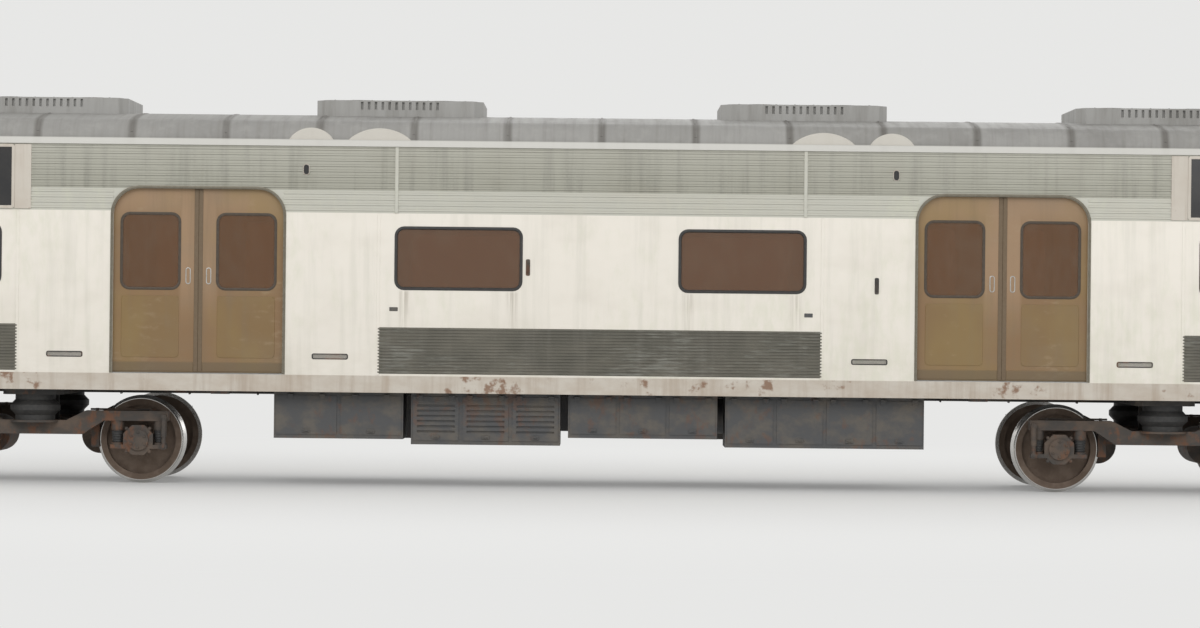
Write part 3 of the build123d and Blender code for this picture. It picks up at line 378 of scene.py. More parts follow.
def roof_paint_look():
    """Grey roof sheets, no two alike, chalked, with soot at the seams and stains that run to the gutters; a
    pale band along the gutters is a painted highlight.
    """
    # The base grey is darker than the roof's own grey: part of it is painted shade.
    look = Look("roof_paint", (0.285, 0.28, 0.265), 0.7, 0.0)
    sheet = look.combine("FLOOR", look.combine("DIVIDE", look.along("X"), SEAM_PITCH))
    shade = look.node("ShaderNodeTexWhiteNoise", {"W": sheet}, noise_dimensions="1D").outputs["Value"]
    look.stain(shade, 0, 1, 0.5, (0.205, 0.20, 0.185))
    run = look.noise(1.0, 7, (15, 0.7, 1.1))
    look.stain(run, 0.45, 0.80, 0.34, (0.14, 0.13, 0.112))
    soot = look.noise(1.0, 6, (0.7, 1.2, 1))
    look.stain(soot, 0.46, 0.78, 0.40, (0.09, 0.083, 0.075))
    chalk = look.noise(9, 8)
    look.stain(chalk, 0.44, 0.72, 0.28, (0.36, 0.352, 0.33))
    off_seam = look.combine("PINGPONG", look.along("X"), SEAM_PITCH / 2)
    dirt = look.times(look.remap(off_seam, 0.060, 0.016), look.remap(run, 0.2, 0.6, 0.35, 0.75))
    look.tint(dirt, (0.10, 0.092, 0.08))
    # Pale band along the top of the gutters: a painted highlight, not a colour of the roof.
    gutter_highlight = look.remap(look.along("Z"), gutter_bottom + GUTTER_HEIGHT, gutter_bottom + GUTTER_HEIGHT - 0.020)
    look.tint(look.times(gutter_highlight, 0.85), (0.60, 0.59, 0.55))
    look.roughen(run, 0.55, 0.9)
    look.relief(60, 4, 0.0006, 0.5)
    return look


def unit_paint_look():
    """Roof units under soot; the low vents over the gutters are painted paler, a painted highlight."""
    look = Look("unit_paint", (0.33, 0.325, 0.31), 0.65, 0.0)
    run = look.noise(1.0, 6, (7, 7, 0.8))
    look.stain(run, 0.42, 0.72, 0.4, (0.15, 0.14, 0.12))
    soot = look.remap(look.upward(), 0.6, 0.95, 0, 0.45)
    look.tint(look.times(soot, look.noise(1.3, 4)), (0.09, 0.084, 0.076))
    # The low vents over the gutters, out past 1.2 m from the middle, are painted pale: a painted highlight.
    look.stain(look.size(look.along("Y")), 1.2, 1.25, 0.8, (0.56, 0.53, 0.47))
    look.roughen(run, 0.5, 0.85)
    look.relief(60, 4, 0.0005, 0.5)
    return look


def dirty_metal_look(name, colour, dust_colour, rust=0.5, roughness=(0.55, 0.85), metallic=0.2):
    """Dark underfloor metal under road dust, with rust coming through."""
    look = Look(name, colour, 0.7, metallic)
    dusty = look.noise(4, 6, (1, 1, 1.3))
    look.stain(dusty, 0.40, 0.70, 0.7, dust_colour)
    grain = look.times(look.noise(14, 8, (1, 1, 0.6)), look.noise(1.7, 3))
    look.stain(grain, 0.27, 0.37, rust, (0.16, 0.065, 0.028))
    look.stain(look.upward(), 0.3, 0.95, 0.7, dust_colour)
    look.roughen(dusty, *roughness)
    look.relief(45, 5, 0.0009, 0.6)
    return look


def wheel_look(node):
    """Forged steel: the tread is polished, the disc is brown with brake dust. It is centred on the axle."""
    axle = middle(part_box(node))
    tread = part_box(node)[1].z - axle.z - FLANGE_HEIGHT
    look = Look(node, (0.12, 0.085, 0.062), 0.7, 0.35)
    grime = look.noise(7, 6, (1, 2, 1))
    look.stain(grime, 0.4, 0.7, 0.7, (0.20, 0.15, 0.115))
    polished = look.remap(look.radius((axle.x, 0, axle.z), (1, 0, 1)), tread - 0.012, tread - 0.006)
    look.tint(polished, (0.56, 0.55, 0.53))
    look.drive("Metallic", look.remap(polished, 0, 1, 0.35, 0.95))
    look.drive("Roughness", look.remap(polished, 0, 1, 0.75, 0.24))
    look.relief(60, 5, 0.0008, 0.5)
    return look


def tinted_glass_look(name, colour):
    """Dark brown tinted glass with a film of dust and dried rain."""
    look = Look(name, colour, 0.06, 0.0, Transmission_Weight=0.62, IOR=1.45)
    film = look.times(look.noise(6, 6, (2, 2, 0.9)), look.noise(0.9, 2))
    look.stain(film, 0.16, 0.42, 0.30, (0.30, 0.21, 0.14))
    look.roughen(film, 0.04, 0.30)
    return look


def plain_look(name, colour, spot_colour, roughness, metallic=0.0, scale=30.0, relief=0.0004, **sockets):
    """A moulded or drawn material with slight mottling and a fine surface."""
    look = Look(name, colour, roughness, metallic, **sockets)
    mottle = look.noise(scale, 5)
    look.stain(mottle, 0.35, 0.7, 0.5, spot_colour)
    wear = look.noise(1.5, 4)
    look.stain(wear, 0.5, 0.8, 0.4, spot_colour)
    look.roughen(wear, roughness - 0.08, min(1.0, roughness + 0.12))
    look.relief(scale * 6, 3, relief, 0.5)
    return look


def floor_covering_look():
    """Grey rubber floor with round studs and worn walkways."""
    look = plain_look("floor_covering", (0.115, 0.12, 0.13), (0.17, 0.165, 0.155), 0.7)
    look.raised(look.remap(look.spots(28), 0.30, 0.22), 0.002, 0.8)
    return look


def lamp_lens_look():
    """Deep red lens that lets some light through."""
    spots = (0.28, 0.016, 0.012)
    return plain_look("lamp_lens", (0.38, 0.022, 0.014), spots, 0.18, 0, 60, 0.001, Transmission_Weight=0.3)


def seat_vinyl_look():
    """Red-brown leathercloth with a fine grain and shine where it is sat on."""
    look = Look("seat_vinyl", (0.20, 0.055, 0.032), 0.48, 0.0, Sheen_Weight=0.15)
    shade = look.noise(5, 5)
    look.stain(shade, 0.4, 0.7, 0.6, (0.12, 0.035, 0.024))
    look.roughen(shade, 0.36, 0.58)
    look.raised(look.remap(look.spots(420), 0.1, 0.5), 0.0005, 0.6)
    return look


# Columns: name, colour, dust, how much rust, roughness from and to, metallic
DIRTY_METALS = (
    ("frame_paint", (0.035, 0.034, 0.033), (0.12, 0.10, 0.08)),
    ("box_paint", (0.075, 0.076, 0.078), (0.15, 0.13, 0.105), 0.35),
    ("bogie_paint", (0.055, 0.048, 0.042), (0.15, 0.105, 0.075), 0.7),
    ("coupler_steel", (0.13, 0.105, 0.09), (0.18, 0.14, 0.11), 0.95, (0.4, 0.75), 0.6),
)
# Columns: name, colour, spots, roughness, metallic, how fine the spots are, relief
PLAIN_MATERIALS = (
    ("spring_rubber", (0.022, 0.022, 0.022), (0.05, 0.047, 0.043), 0.62),
    ("seal_rubber", (0.048, 0.034, 0.022), (0.085, 0.066, 0.045), 0.6),
    ("nose_rubber", (0.125, 0.085, 0.047), (0.15, 0.11, 0.066), 0.6),
    ("tread_metal", (0.42, 0.42, 0.405), (0.30, 0.28, 0.25), 0.38, 0.7),
    ("trim_metal", (0.135, 0.120, 0.088), (0.20, 0.185, 0.15), 0.45, 0.45),
    ("rail_steel", (0.62, 0.62, 0.60), (0.50, 0.49, 0.46), 0.26, 0.9),
    ("lining_laminate", (0.60, 0.56, 0.47), (0.52, 0.47, 0.38), 0.5),
    ("display_glass", (0.018, 0.018, 0.019), (0.03, 0.028, 0.026), 0.16, 0, 8, 0.0),
)

looks = {look.name: look for look in (
    side_paint_look(),
    sill_paint_look(),
    ribbed_steel_look(),
    band_paint_look(),
    door_paint_look(),
    roof_paint_look(),
    unit_paint_look(),
    floor_covering_look(),
    seat_vinyl_look(),
    tinted_glass_look("tinted_glass", (0.25, 0.135, 0.075)),
    tinted_glass_look("door_glass", (0.245, 0.120, 0.050)),
    lamp_lens_look(),
    *(dirty_metal_look(*row) for row in DIRTY_METALS),
    *(plain_look(*row) for row in PLAIN_MATERIALS),
)}


def frame_look(node, slot):
    """The look of a CAD node: its slot's, apart from wheels, door glass and roof units."""
    if node.startswith("wheelset"):
        return wheel_look(node)
    if node.startswith("door_glass"):
        return looks["door_glass"]
    return looks["unit_paint" if node == "roof_units" else slot]


def dress_frame():
    """Give each CAD node its look."""
    slots = {part["node"]: part["material_slot"] for part in frame["record"]["subparts"]}
    for node, obj in frame["nodes"].items():
        material = frame_look(node, slots[node]).material
        for place in obj.material_slots:
            place.material = material


def on_side(side, face=half_width):
    """Places on a face along one side of the car: along it, up, and out from the face."""
    return lambda along, up, out: Vector((along, side * (face + out), up))


def on_end(end, face=body_half_length):
    """Places on a face across one end of the car: across it, up, and out from the face."""
    return lambda across, up, out: Vector((end * (face + out), across, up))


def on_level(level):
    """Places on a level face: along the car, across it, and up from the face."""
    return lambda along, across, out: Vector((along, across, level + out))


# How finely bends and rings of wire are cut, and how deep the heads of rivets and bolts start
BEND_STEPS = 4
HOOP_STEPS = 28
HOOP_SIDES = 6
SUNK = 0.0005


def rounded(size, radius, steps=5):
    """Points round a rounded rectangle, from its lower right corner."""
    points = []
    for turn, (right, upper) in enumerate([(1, -1), (1, 1), (-1, 1), (-1, -1)]):
        for step in range(steps + 1):
            angle = math.radians(90 * (turn - 1 + step / steps))
            points.append((
                right * (size[0] / 2 - radius) + radius * math.cos(angle),
                upper * (size[1] / 2 - radius) + radius * math.sin(angle),
            ))
    return points


def turns(count):
    """Equal angles that make up a full turn."""
    return [2 * math.pi * step / count for step in range(count)]


def spokes(axis, count):
    """Unit vectors at equal angles round an axis, itself a unit vector."""
    normal = axis.orthogonal().normalized()
    cross = axis.cross(normal)
    return [normal * math.cos(turn) + cross * math.sin(turn) for turn in turns(count)]


def loft(bm, rings, close_rings=False):
    """Faces between rings of points; the ends are capped, or the last ring joins the first."""
    rows = [[bm.verts.new(point) for point in ring] for ring in rings]
    count = len(rows[0])
    for lower, upper in zip(rows, rows[1:] + rows[:close_rings]):
        for index in range(count):
            following = (index + 1) % count
            bm.faces.new((lower[index], lower[following], upper[following], upper[index]))
    if not close_rings:
        bm.faces.new(rows[0][::-1])
        bm.faces.new(rows[-1])


def ring_frame(bm, place, centre, size, radius, section):
    """A frame round a rounded opening. Section columns: reach outward from the edge, height."""
    rings = []
    for reach, height in section:
        outline = rounded((size[0] + 2 * reach, size[1] + 2 * reach), radius + reach)
        rings.append([place(centre[0] + u, centre[1] + v, height) for u, v in outline])
    loft(bm, rings, close_rings=True)


def plate(bm, place, centre, size, radius, base, top, bevel=0.002):
    """A raised plate with a bevelled face."""
    rings = []
    for inset, height in ((0, base), (0, top - bevel), (bevel, top)):
        outline = rounded((size[0] - 2 * inset, size[1] - 2 * inset), max(radius - inset, 0.0005), 3)
        rings.append([place(centre[0] + u, centre[1] + v, height) for u, v in outline])
    loft(bm, rings)


def tube(bm, points, radius, sides=8):
    """A tube along a line of points."""
    points = [Vector(point) for point in points]
    rings = []
    normal = None
    for index, point in enumerate(points):
        before = points[max(index - 1, 0)]
        after = points[min(index + 1, len(points) - 1)]
        direction = (after - before).normalized()
        if normal is None:
            normal = direction.orthogonal().normalized()
        normal = (normal - direction * normal.dot(direction)).normalized()
        cross = direction.cross(normal)
        rings.append([
            point + radius * (normal * math.cos(turn) + cross * math.sin(turn)) for turn in turns(sides)
        ])
    loft(bm, rings)


def bend(points, radius):
    """A line of points with each inner corner rounded."""
    points = [Vector(point) for point in points]
    line = [points[0]]
    for before, corner, after in zip(points, points[1:], points[2:]):
        start = corner + (before - corner).normalized() * radius
        end = corner + (after - corner).normalized() * radius
        for step in range(BEND_STEPS + 1):
            share = step / BEND_STEPS
            line.append((1 - share) ** 2 * start + 2 * share * (1 - share) * corner + share ** 2 * end)
    line.append(points[-1])
    return line


def staple(bm, place, centre, feet, grip, radius, sides=8, upright=False):
    """A bent handle on a face. Feet and grip: half their span, and their height over the face."""
    line = []
    for way, (reach, height) in ((-1, feet), (-1, grip), (1, grip), (1, feet)):
        along, up = (0, way * reach) if upright else (way * reach, 0)
        line.append(place(centre[0] + along, centre[1] + up, height))
    tube(bm, line, radius, sides)


def lathe(bm, centre, axis, profile, sides):
    """A turned form. Profile columns: radius, distance along the axis."""
    centre, axis = Vector(centre), Vector(axis)
    around = spokes(axis, sides)
    loft(bm, [[centre + axis * along + spoke * radius for spoke in around] for radius, along in profile])


def hoop(bm, centre, axis, radius, wire):
    """A ring of round wire."""
    section = [(wire * math.cos(turn), wire * math.sin(turn)) for turn in turns(HOOP_SIDES)]
    loft(bm, [
        [centre + spoke * (radius + out) + axis * up for out, up in section]
        for spoke in spokes(axis, HOOP_STEPS)
    ], close_rings=True)


def rivet(bm, centre, axis, radius, height):
    """A low domed head."""
    lathe(bm, centre, axis, ((radius, -SUNK), (radius * 0.85, height * 0.6), (radius * 0.35, height)), 8)


def bolt(bm, centre, axis, radius, height):
    """A hexagon head on a washer."""
    lathe(bm, centre, axis, ((radius * 1.45, -SUNK), (radius * 1.45, height * 0.25)), 12)
    lathe(bm, centre, axis, ((radius, height * 0.2), (radius, height * 0.85), (radius * 0.8, height)), 6)


def bolt_circle(bm, centre, side, radius, count, head, height):
    """Bolts at equal angles round a point of a face that looks to one side."""
    for turn in turns(count):
        angle = turn + math.pi / count
        shift = Vector((radius * math.cos(angle), 0, radius * math.sin(angle)))
        bolt(bm, centre + shift, (0, side, 0), head, height)


def add_object(name, data):
    """A new object in the scene."""
    obj = bpy.data.objects.new(name, data)
    scene.collection.objects.link(obj)
    return obj


def make_piece(name, body, slot, draw, sharp=SHARP, look=None):
    """A piece drawn into one mesh, that rides on a body. It has its slot's finish, or a look near it."""
    bm = bmesh.new()
    draw(bm)
    bmesh.ops.recalc_face_normals(bm, faces=bm.faces)
    mesh = bpy.data.meshes.new(name)
    bm.to_mesh(mesh)
    bm.free()
    mesh.shade_smooth()
    mesh.set_sharp_from_angle(angle=math.radians(sharp))
    mesh.materials.append(looks[look or slot].material)
    obj = add_object(name, mesh)
    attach(obj, body)
    return obj


# What lies on a face starts this far over it
LIFT = 0.0003


def gasket(depth, lip):
    """A rubber section round a pane, from the glass at this depth over its lip to the face of the wall."""
    return ((lip[0][0], LIFT - depth), *lip, (lip[-1][0], LIFT), (-LIFT, LIFT), (-LIFT, LIFT - depth))


WINDOW_RADIUS = 0.080
PANE_DEPTH = 0.010
PANE_GASKET = gasket(PANE_DEPTH, ((-0.014, -0.004), (-0.007, 0.006), (0.008, 0.007), (0.017, 0.003)))


def draw_window_gaskets(bm):
    for box in side_panes:
        ring_frame(bm, on_side(sign(box[0].y)), middle(box).xz, extent(box).xz, WINDOW_RADIUS, PANE_GASKET)
    for box in end_panes:
        ring_frame(bm, on_end(sign(box[0].x)), middle(box).yz, extent(box).yz, WINDOW_RADIUS, PANE_GASKET)


# Doorway trim: a bar that runs up one jamb, round both corners and down the other.
# Section columns: share of the width, level from the top, where -1 reaches down to the wall
TRIM_WIDTH = 0.028
TRIM_HEIGHT = 0.007
TRIM_SECTION = ((0, -1), (0, -0.002), (0.25, 0), (0.75, 0), (1, -0.002), (1, -1))
CORNER_RADIUS = 0.260
CORNER_STEPS = 8
threshold_boxes = islands("thresholds")


def doorway_path(start, end, reach):
    """Points round a doorway at a distance outside its edge, from the foot of one jamb."""
    radius, level = CORNER_RADIUS + reach, door_top - CORNER_RADIUS
    angles = [math.radians(90 * step / CORNER_STEPS) for step in range(CORNER_STEPS + 1)]
    arc = [(radius * math.cos(angle), level + radius * math.sin(angle)) for angle in angles]
    foot = floor_top + 0.004
    return [
        (start - reach, foot),
        *((start + CORNER_RADIUS - across, up) for across, up in arc),
        *((end - CORNER_RADIUS + across, up) for across, up in reversed(arc)),
        (end + reach, foot),
    ]


def draw_doorway_trims(bm):
    for low, high in threshold_boxes:
        place = on_side(sign(low.y))
        outside = doorway_path(low.x, high.x, TRIM_WIDTH)
        inside = doorway_path(low.x, high.x, 0.001)
        rings = []
        for start, end in zip(inside, outside):
            top = TRIM_HEIGHT + (rib_height if end[1] > ribs_bottom - 0.02 else 0)
            rings.append([
                place(*((1 - share) * a + share * b for a, b in zip(start, end)), max(top + rise, LIFT))
                for share, rise in TRIM_SECTION
            ])
        loft(bm, rings)


# Cover strips over the joints of the ribbed letterboards and of the wall panels
LETTERBOARD_JOINTS = (-2.045, 2.045)
RIVET_PITCH = 0.11
pocket_boxes = islands("pocket_panels")


def pocket_edge(box):
    """The edge of a pocket panel that is away from its doorway, and the way from it to the doorway."""
    centre = middle(box).x
    nearest = min((middle(step).x for step in threshold_boxes), key=lambda x: abs(x - centre))
    return (box[0].x, 1) if nearest > centre else (box[1].x, -1)


def draw_panel_joints(bm):
    for side in SIDES.values():
        height = gutter_bottom - ribs_bottom
        for x in LETTERBOARD_JOINTS:
            centre = (x, ribs_bottom + height / 2)
            plate(bm, on_side(side), centre, (0.034, height - 0.004), 0.002, LIFT, 0.012)
    for box in pocket_boxes:
        height = ribs_bottom - floor_top
        centre = (pocket_edge(box)[0], floor_top + height / 2)
        plate(bm, on_side(sign(box[0].y)), centre, (0.030, height - 0.01), 0.003, LIFT, 0.004)


def draw_panel_rivets(bm):
    count = int(2 * inner_half_length / RIVET_PITCH)
    for side in SIDES.values():
        place = on_side(side)
        for index in range(count):
            x = -inner_half_length + (index + 0.5) * RIVET_PITCH
            rows = [sill_bottom + 0.022]
            if not any(low.x - 0.03 < x < high.x + 0.03 for low, high in threshold_boxes):
                rows.append(floor_top - 0.016)
            for z in rows:
                rivet(bm, place(x, z, 0), (0, side, 0), 0.005, 0.0025)


# Flat pale frames round the side displays, wider towards the doors; the small ovals have a thin rim
FRAME_WIDTH = 0.030
FRAME_SIDE = 0.165


def draw_display_frames(bm):
    top = rib_height + 0.003
    oval_rim = ((0.0005, 0.001), (0.0005, top), (0.006, top + 0.003), (0.010, top), (0.010, 0.001))
    flat_frame = (
        (0.0005, 0.0005), (0.0005, top + 0.006), (0.006, top + 0.008), (FRAME_WIDTH, top + 0.004),
        (FRAME_WIDTH, 0.0005),
    )
    for box in islands("side_displays"):
        place = on_side(sign(box[0].y))
        centre, size = middle(box), extent(box)
        if size.x < 0.2:
            ring_frame(bm, place, centre.xz, size.xz, size.x / 2 - 0.0002, oval_rim)
            continue
        ring_frame(bm, place, centre.xz, size.xz, 0.002, flat_frame)
        strip_x = centre.x - sign(centre.x) * (size.x / 2 + FRAME_WIDTH + FRAME_SIDE / 2)
        strip = (FRAME_SIDE, size.z + 2 * FRAME_WIDTH)
        plate(bm, place, (strip_x, centre.z), strip, 0.004, 0.0005, top + 0.001)


# Small fittings on the pocket panels and walls, places along the car and up, as in the photograph
RELEASE_PLACES = ((2.765, 2.075), (-0.725, 2.225))
PLATE_PLACES = ((-2.065, 1.795), (2.085, 1.775))
VENT_LEVEL = 1.315
VENT_SIZE = (0.34, 0.034)
VENT_RIM = ((0, LIFT), (0, 0.005), (0.006, 0.006), (0.012, 0.003), (0.012, LIFT))


def draw_releases(bm):
    for side in SIDES.values():
        place = on_side(side)
        for x, z in RELEASE_PLACES:
            plate(bm, place, (-side * x, z), (0.042, 0.165), 0.012, LIFT, 0.006)
            staple(bm, place, (-side * x, z), (0.055, 0.004), (0.045, 0.022), 0.006, upright=True)


def draw_data_plates(bm):
    for side in SIDES.values():
        place = on_side(side)
        for x, z in PLATE_PLACES:
            plate(bm, place, (-side * x, z), (0.085, 0.040), 0.006, LIFT, 0.0035)
            for shift in (-0.036, 0.036):
                rivet(bm, place(-side * x + shift, z, 0.0035), (0, side, 0), 0.0035, 0.0015)


def draw_pocket_vents(bm):
    for box in pocket_boxes:
        place = on_side(sign(box[0].y))
        edge, toward = pocket_edge(box)
        x = edge + toward * POCKET_LENGTH / 2
        ring_frame(bm, place, (x, VENT_LEVEL), VENT_SIZE, 0.008, VENT_RIM)
        for slat in (-0.010, 0, 0.010):
            plate(bm, place, (x, VENT_LEVEL + slat), (VENT_SIZE[0], 0.005), 0.001, LIFT, 0.004)


# Sliding leaves: glass gasket, rubber nose, pressed panel with kick strip, finger pull
LEAF_PANE_DEPTH = 0.006
LEAF_GASKET = gasket(LEAF_PANE_DEPTH, ((-0.012, 0.001), (-0.004, 0.004), (0.010, 0.004), (0.015, 0.001)))
NOSE_FOOT = 0.006
NOSE_HEAD = 0.024
KICK_FOOT = 0.012
PULL_SIZE = (0.034, 0.15)
PULL_LEVEL = floor_top + 0.98
PULL_INSET = NOSE_WIDTH + 0.06
PULL_RIM = ((0, LIFT), (0, 0.002), (0.004, 0.004), (0.009, 0.002), (0.009, LIFT))


def dress_leaf(tag, side, hand):
    """The rubber, nose, raised panels and finger pull of one sliding leaf."""
    leaf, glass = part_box(f"door_leaf_{tag}"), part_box(f"door_glass_{tag}")
    low, high = leaf
    place = on_side(side, outer(leaf, 1))
    meeting_edge = low.x if hand > 0 else high.x

    def draw_rubber(bm):
        ring_frame(bm, place, middle(glass).xz, extent(glass).xz, WINDOW_RADIUS, LEAF_GASKET)

    def draw_nose(bm):
        height = high.z - low.z - NOSE_FOOT - NOSE_HEAD
        centre = (meeting_edge + hand * NOSE_WIDTH / 2, low.z + height / 2 + NOSE_FOOT)
        plate(bm, place, centre, (NOSE_WIDTH, height), 0.004, LIFT, 0.005, 0.003)

    def draw_panels(bm):
        kick_centre = (middle(leaf).x + hand * NOSE_WIDTH / 2, low.z + KICK_FOOT + KICK_HEIGHT / 2)
        kick_size = (high.x - low.x - NOSE_WIDTH - 0.012, KICK_HEIGHT)
        plate(bm, place, kick_centre, kick_size, 0.004, LIFT, 0.003)
        plate(bm, place, (middle(glass).x, pressed_level), PRESSED_PANEL, 0.045, LIFT, 0.004, 0.004)

    def draw_metal(bm):
        centre = (meeting_edge + hand * PULL_INSET, PULL_LEVEL)
        ring_frame(bm, place, centre, PULL_SIZE, PULL_SIZE[0] / 2, PULL_RIM)

    for name, slot, draw, *look in (
        ("rubber", "spring_rubber", draw_rubber, "seal_rubber"),
        ("nose", "spring_rubber", draw_nose, "nose_rubber"),
        ("panels", "door_paint", draw_panels),
        ("metal", "tread_metal", draw_metal),
    ):
        make_piece(f"leaf_{name}_{tag}", f"sliding_leaf_{tag}", slot, draw, SHARP, *look)


def dress_leaves():
    for side, door, hand in itertools.product(SIDES, DOORS, HANDS):
        dress_leaf(f"{side}_{door}_{hand}", SIDES[side], HANDS[hand])


# Roof: seams across it, lid edges and bolts on its units, guards over the fans. Angles in degrees
SEAM_START = 17
SEAM_SWEEP = 146
SEAM_STEPS = 36
SEAM_SECTION = ((-0.018, -0.001), (-0.006, 0.006), (0.006, 0.006), (0.018, -0.001))
FAN_COVER_HEIGHT = 0.024
LID_EDGE = ((0, LIFT), (0, 0.004), (0.005, 0.007), (0.013, 0.007), (0.018, 0.004), (0.018, LIFT))
LID_BOLT_PITCH = 0.19
LID_BOLT_INSET = 0.025
GUARD_RINGS = 4
GUARD_PITCH = 0.058
GUARD_REACH = 0.236
UP = Vector((0, 0, 1))
# Without the small vents over the gutters
roof_casings = [box for box in islands("roof_units") if extent(box).x > 1]


def draw_roof_seams(bm):
    """Each seam follows the roof's skin, met by spokes from a hub below it."""
    count = int(inner_half_length / SEAM_PITCH)
    for index in range(-count, count + 1):
        hub = Vector((index * SEAM_PITCH, 0, gutter_bottom - 0.3))
        rings = []
        for step in range(SEAM_STEPS + 1):
            angle = math.radians(SEAM_START + SEAM_SWEEP * step / SEAM_STEPS)
            spoke = Vector((0, math.cos(angle), math.sin(angle)))
            hit, place, normal, _ = frame["nodes"]["roof"].ray_cast(hub + spoke * 3, -spoke)
            if hit and place.z >= gutter_bottom + GUTTER_HEIGHT:
                rings.append([place + Vector((along, 0, 0)) + normal * out for along, out in SEAM_SECTION])
        loft(bm, rings)


def draw_unit_lids(bm):
    place = on_level(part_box("roof_units")[1].z - FAN_COVER_HEIGHT)
    for low, high in roof_casings:
        centre, size = middle((low, high)), high - low
        ring_frame(bm, place, centre.xy, (size.x - 0.14, size.y - 0.14), 0.09, LID_EDGE)
        plate(bm, place, centre.xy, (0.05, size.y - 0.15), 0.004, LIFT, 0.005)
        count = int((size.x - 0.2) / LID_BOLT_PITCH)
        for index in range(count + 1):
            x = centre.x + (index - count / 2) * LID_BOLT_PITCH
            for y in (low.y + LID_BOLT_INSET, high.y - LID_BOLT_INSET):
                bolt(bm, place(x, y, 0), UP, 0.009, 0.008)


def draw_fan_guards(bm):
    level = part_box("roof_units")[1].z + 0.004
    for box in roof_casings:
        for way in (-1, 1):
            centre = Vector((middle(box).x + way * extent(box).x / 4, 0, level))
            for ring in range(GUARD_RINGS):
                hoop(bm, centre, UP, (ring + 1) * GUARD_PITCH, 0.0035)
            for turn in range(4):
                angle = math.pi * turn / 4
                reach = Vector((math.cos(angle), math.sin(angle), 0)) * GUARD_REACH
                tube(bm, [centre - reach, centre + reach], 0.003, 6)


# Ends: lamp rims, handrails on feet, door handles and rubbers
LAMP_RIM = ((LIFT, LIFT), (LIFT, 0.020), (0.005, 0.023), (0.011, 0.020), (0.014, LIFT))
RAIL_ACROSS = 1.30
RAIL_SPANS = ((1.30, 2.25), (2.42, 3.02))
RAIL_OUT = 0.06
RAIL_FOOT = ((0.032, 0), (0.032, 0.005), (0.016, 0.008))
HANDLE_ACROSS = 0.275
HANDLE_LEVEL = floor_top + 1.02
HANDLE_ROSE = ((0.026, 0), (0.026, 0.008), (0.011, 0.010), (0.011, 0.03))
HANDLE_LINE = ((0, 0.028), (0.02, 0.030), (0.11, 0.030))
END_LIP = ((-0.010, 0.001), (-0.003, 0.005), (0.010, 0.005), (0.015, 0.001))


def draw_lamp_rims(bm):
    for box in islands("marker_lamps"):
        size = extent(box).yz
        ring_frame(bm, on_end(sign(box[0].x)), middle(box).yz, size, size[1] / 2 - 0.0002, LAMP_RIM)


def draw_end_rails(bm):
    for end in ENDS.values():
        place = on_end(end)
        for across in (-RAIL_ACROSS, RAIL_ACROSS):
            for low, high in RAIL_SPANS:
                line = ((low, 0), (low, RAIL_OUT), (high, RAIL_OUT), (high, 0))
                tube(bm, bend([place(across, z, out) for z, out in line], 0.035), 0.013)
                for z in (low, high):
                    lathe(bm, place(across, z, 0), (end, 0, 0), RAIL_FOOT, 14)


def draw_end_door_handle(bm, name):
    end = ENDS[name]
    place = on_end(end, outer(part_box(f"end_door_{name}"), 0))
    grip = -end * HANDLE_ACROSS
    lathe(bm, place(grip, HANDLE_LEVEL, 0), (end, 0, 0), HANDLE_ROSE, 14)
    tube(bm, bend([place(grip + end * reach, HANDLE_LEVEL, out) for reach, out in HANDLE_LINE], 0.01), 0.008)


def draw_end_door_rubber(bm, name):
    leaf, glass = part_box(f"end_door_{name}"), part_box(f"end_door_glass_{name}")
    place = on_end(ENDS[name], outer(leaf, 0))
    section = gasket(outer(leaf, 0) - outer(glass, 0), END_LIP)
    ring_frame(bm, place, middle(glass).yz, extent(glass).yz, WINDOW_RADIUS, section)


# Underfloor: lid latches and hinges, pipes and their clamps
LID_LENGTH = 0.55
FITTING_BASE = 0.0002
LATCH_LEVEL = 0.075
HINGE_SHIFT = 0.16
PIPES = ((0.47, 0.017), (0.52, 0.013))
CLAMP_PITCH = 0.7
CLAMP_REACH = 0.055
CLAMP_DROP = 0.052


def draw_box_fittings(bm):
    for low, high in islands("equipment_boxes"):
        place = on_side(sign(low.y), outer((low, high), 1))
        length = high.x - low.x
        lids = max(2, round(length / LID_LENGTH))
        for lid in range(lids):
            x = low.x + (lid + 0.5) * length / lids
            latch = (x, low.z + LATCH_LEVEL)
            plate(bm, place, latch, (0.075, 0.036), 0.005, FITTING_BASE, 0.012)
            staple(bm, place, latch, (0.022, 0.012), (0.018, 0.024), 0.004, 6)
            for hinge in (x - HINGE_SHIFT, x + HINGE_SHIFT):
                plate(bm, place, (hinge, high.z - 0.052), (0.055, 0.050), 0.003, FITTING_BASE, 0.007)
                tube(bm, [place(hinge + run, high.z - 0.030, 0.008) for run in (-0.030, 0.030)], 0.008)


def draw_pipes(bm):
    reach = inner_half_length - 0.15
    clamps = int(reach / CLAMP_PITCH)
    place = on_level(box_top - 0.001)
    for side in SIDES.values():
        for y, radius in PIPES:
            tube(bm, [(x, side * y, box_top - 0.030) for x in (-reach, reach)], radius)
        for index in range(-clamps, clamps + 1):
            centre = (index * CLAMP_PITCH, side * 0.495)
            staple(bm, place, centre, (CLAMP_REACH, 0), (CLAMP_REACH, -CLAMP_DROP), 0.006, 6, upright=True)


# Bogies: bolts of the axle caps and boxes, air pipes, ribbed rubber round the spring cones, and dampers
PIPE_ACROSS = 0.93
PIPE_INSET = 0.12
PIPE_REACH = 0.68
WING_DROP = 0.240
SPRING_X = 0.215
SPRING_FOOT = 0.020
SPRING_RIBS = 5
SPRING_TOP = 0.148
DAMPER_SHIFT = 0.262
DAMPER_ACROSS = 1.098
DAMPER_EYE = ((0.030, 0), (0.030, 0.052), (0.013, 0.056), (0.013, 0.066))


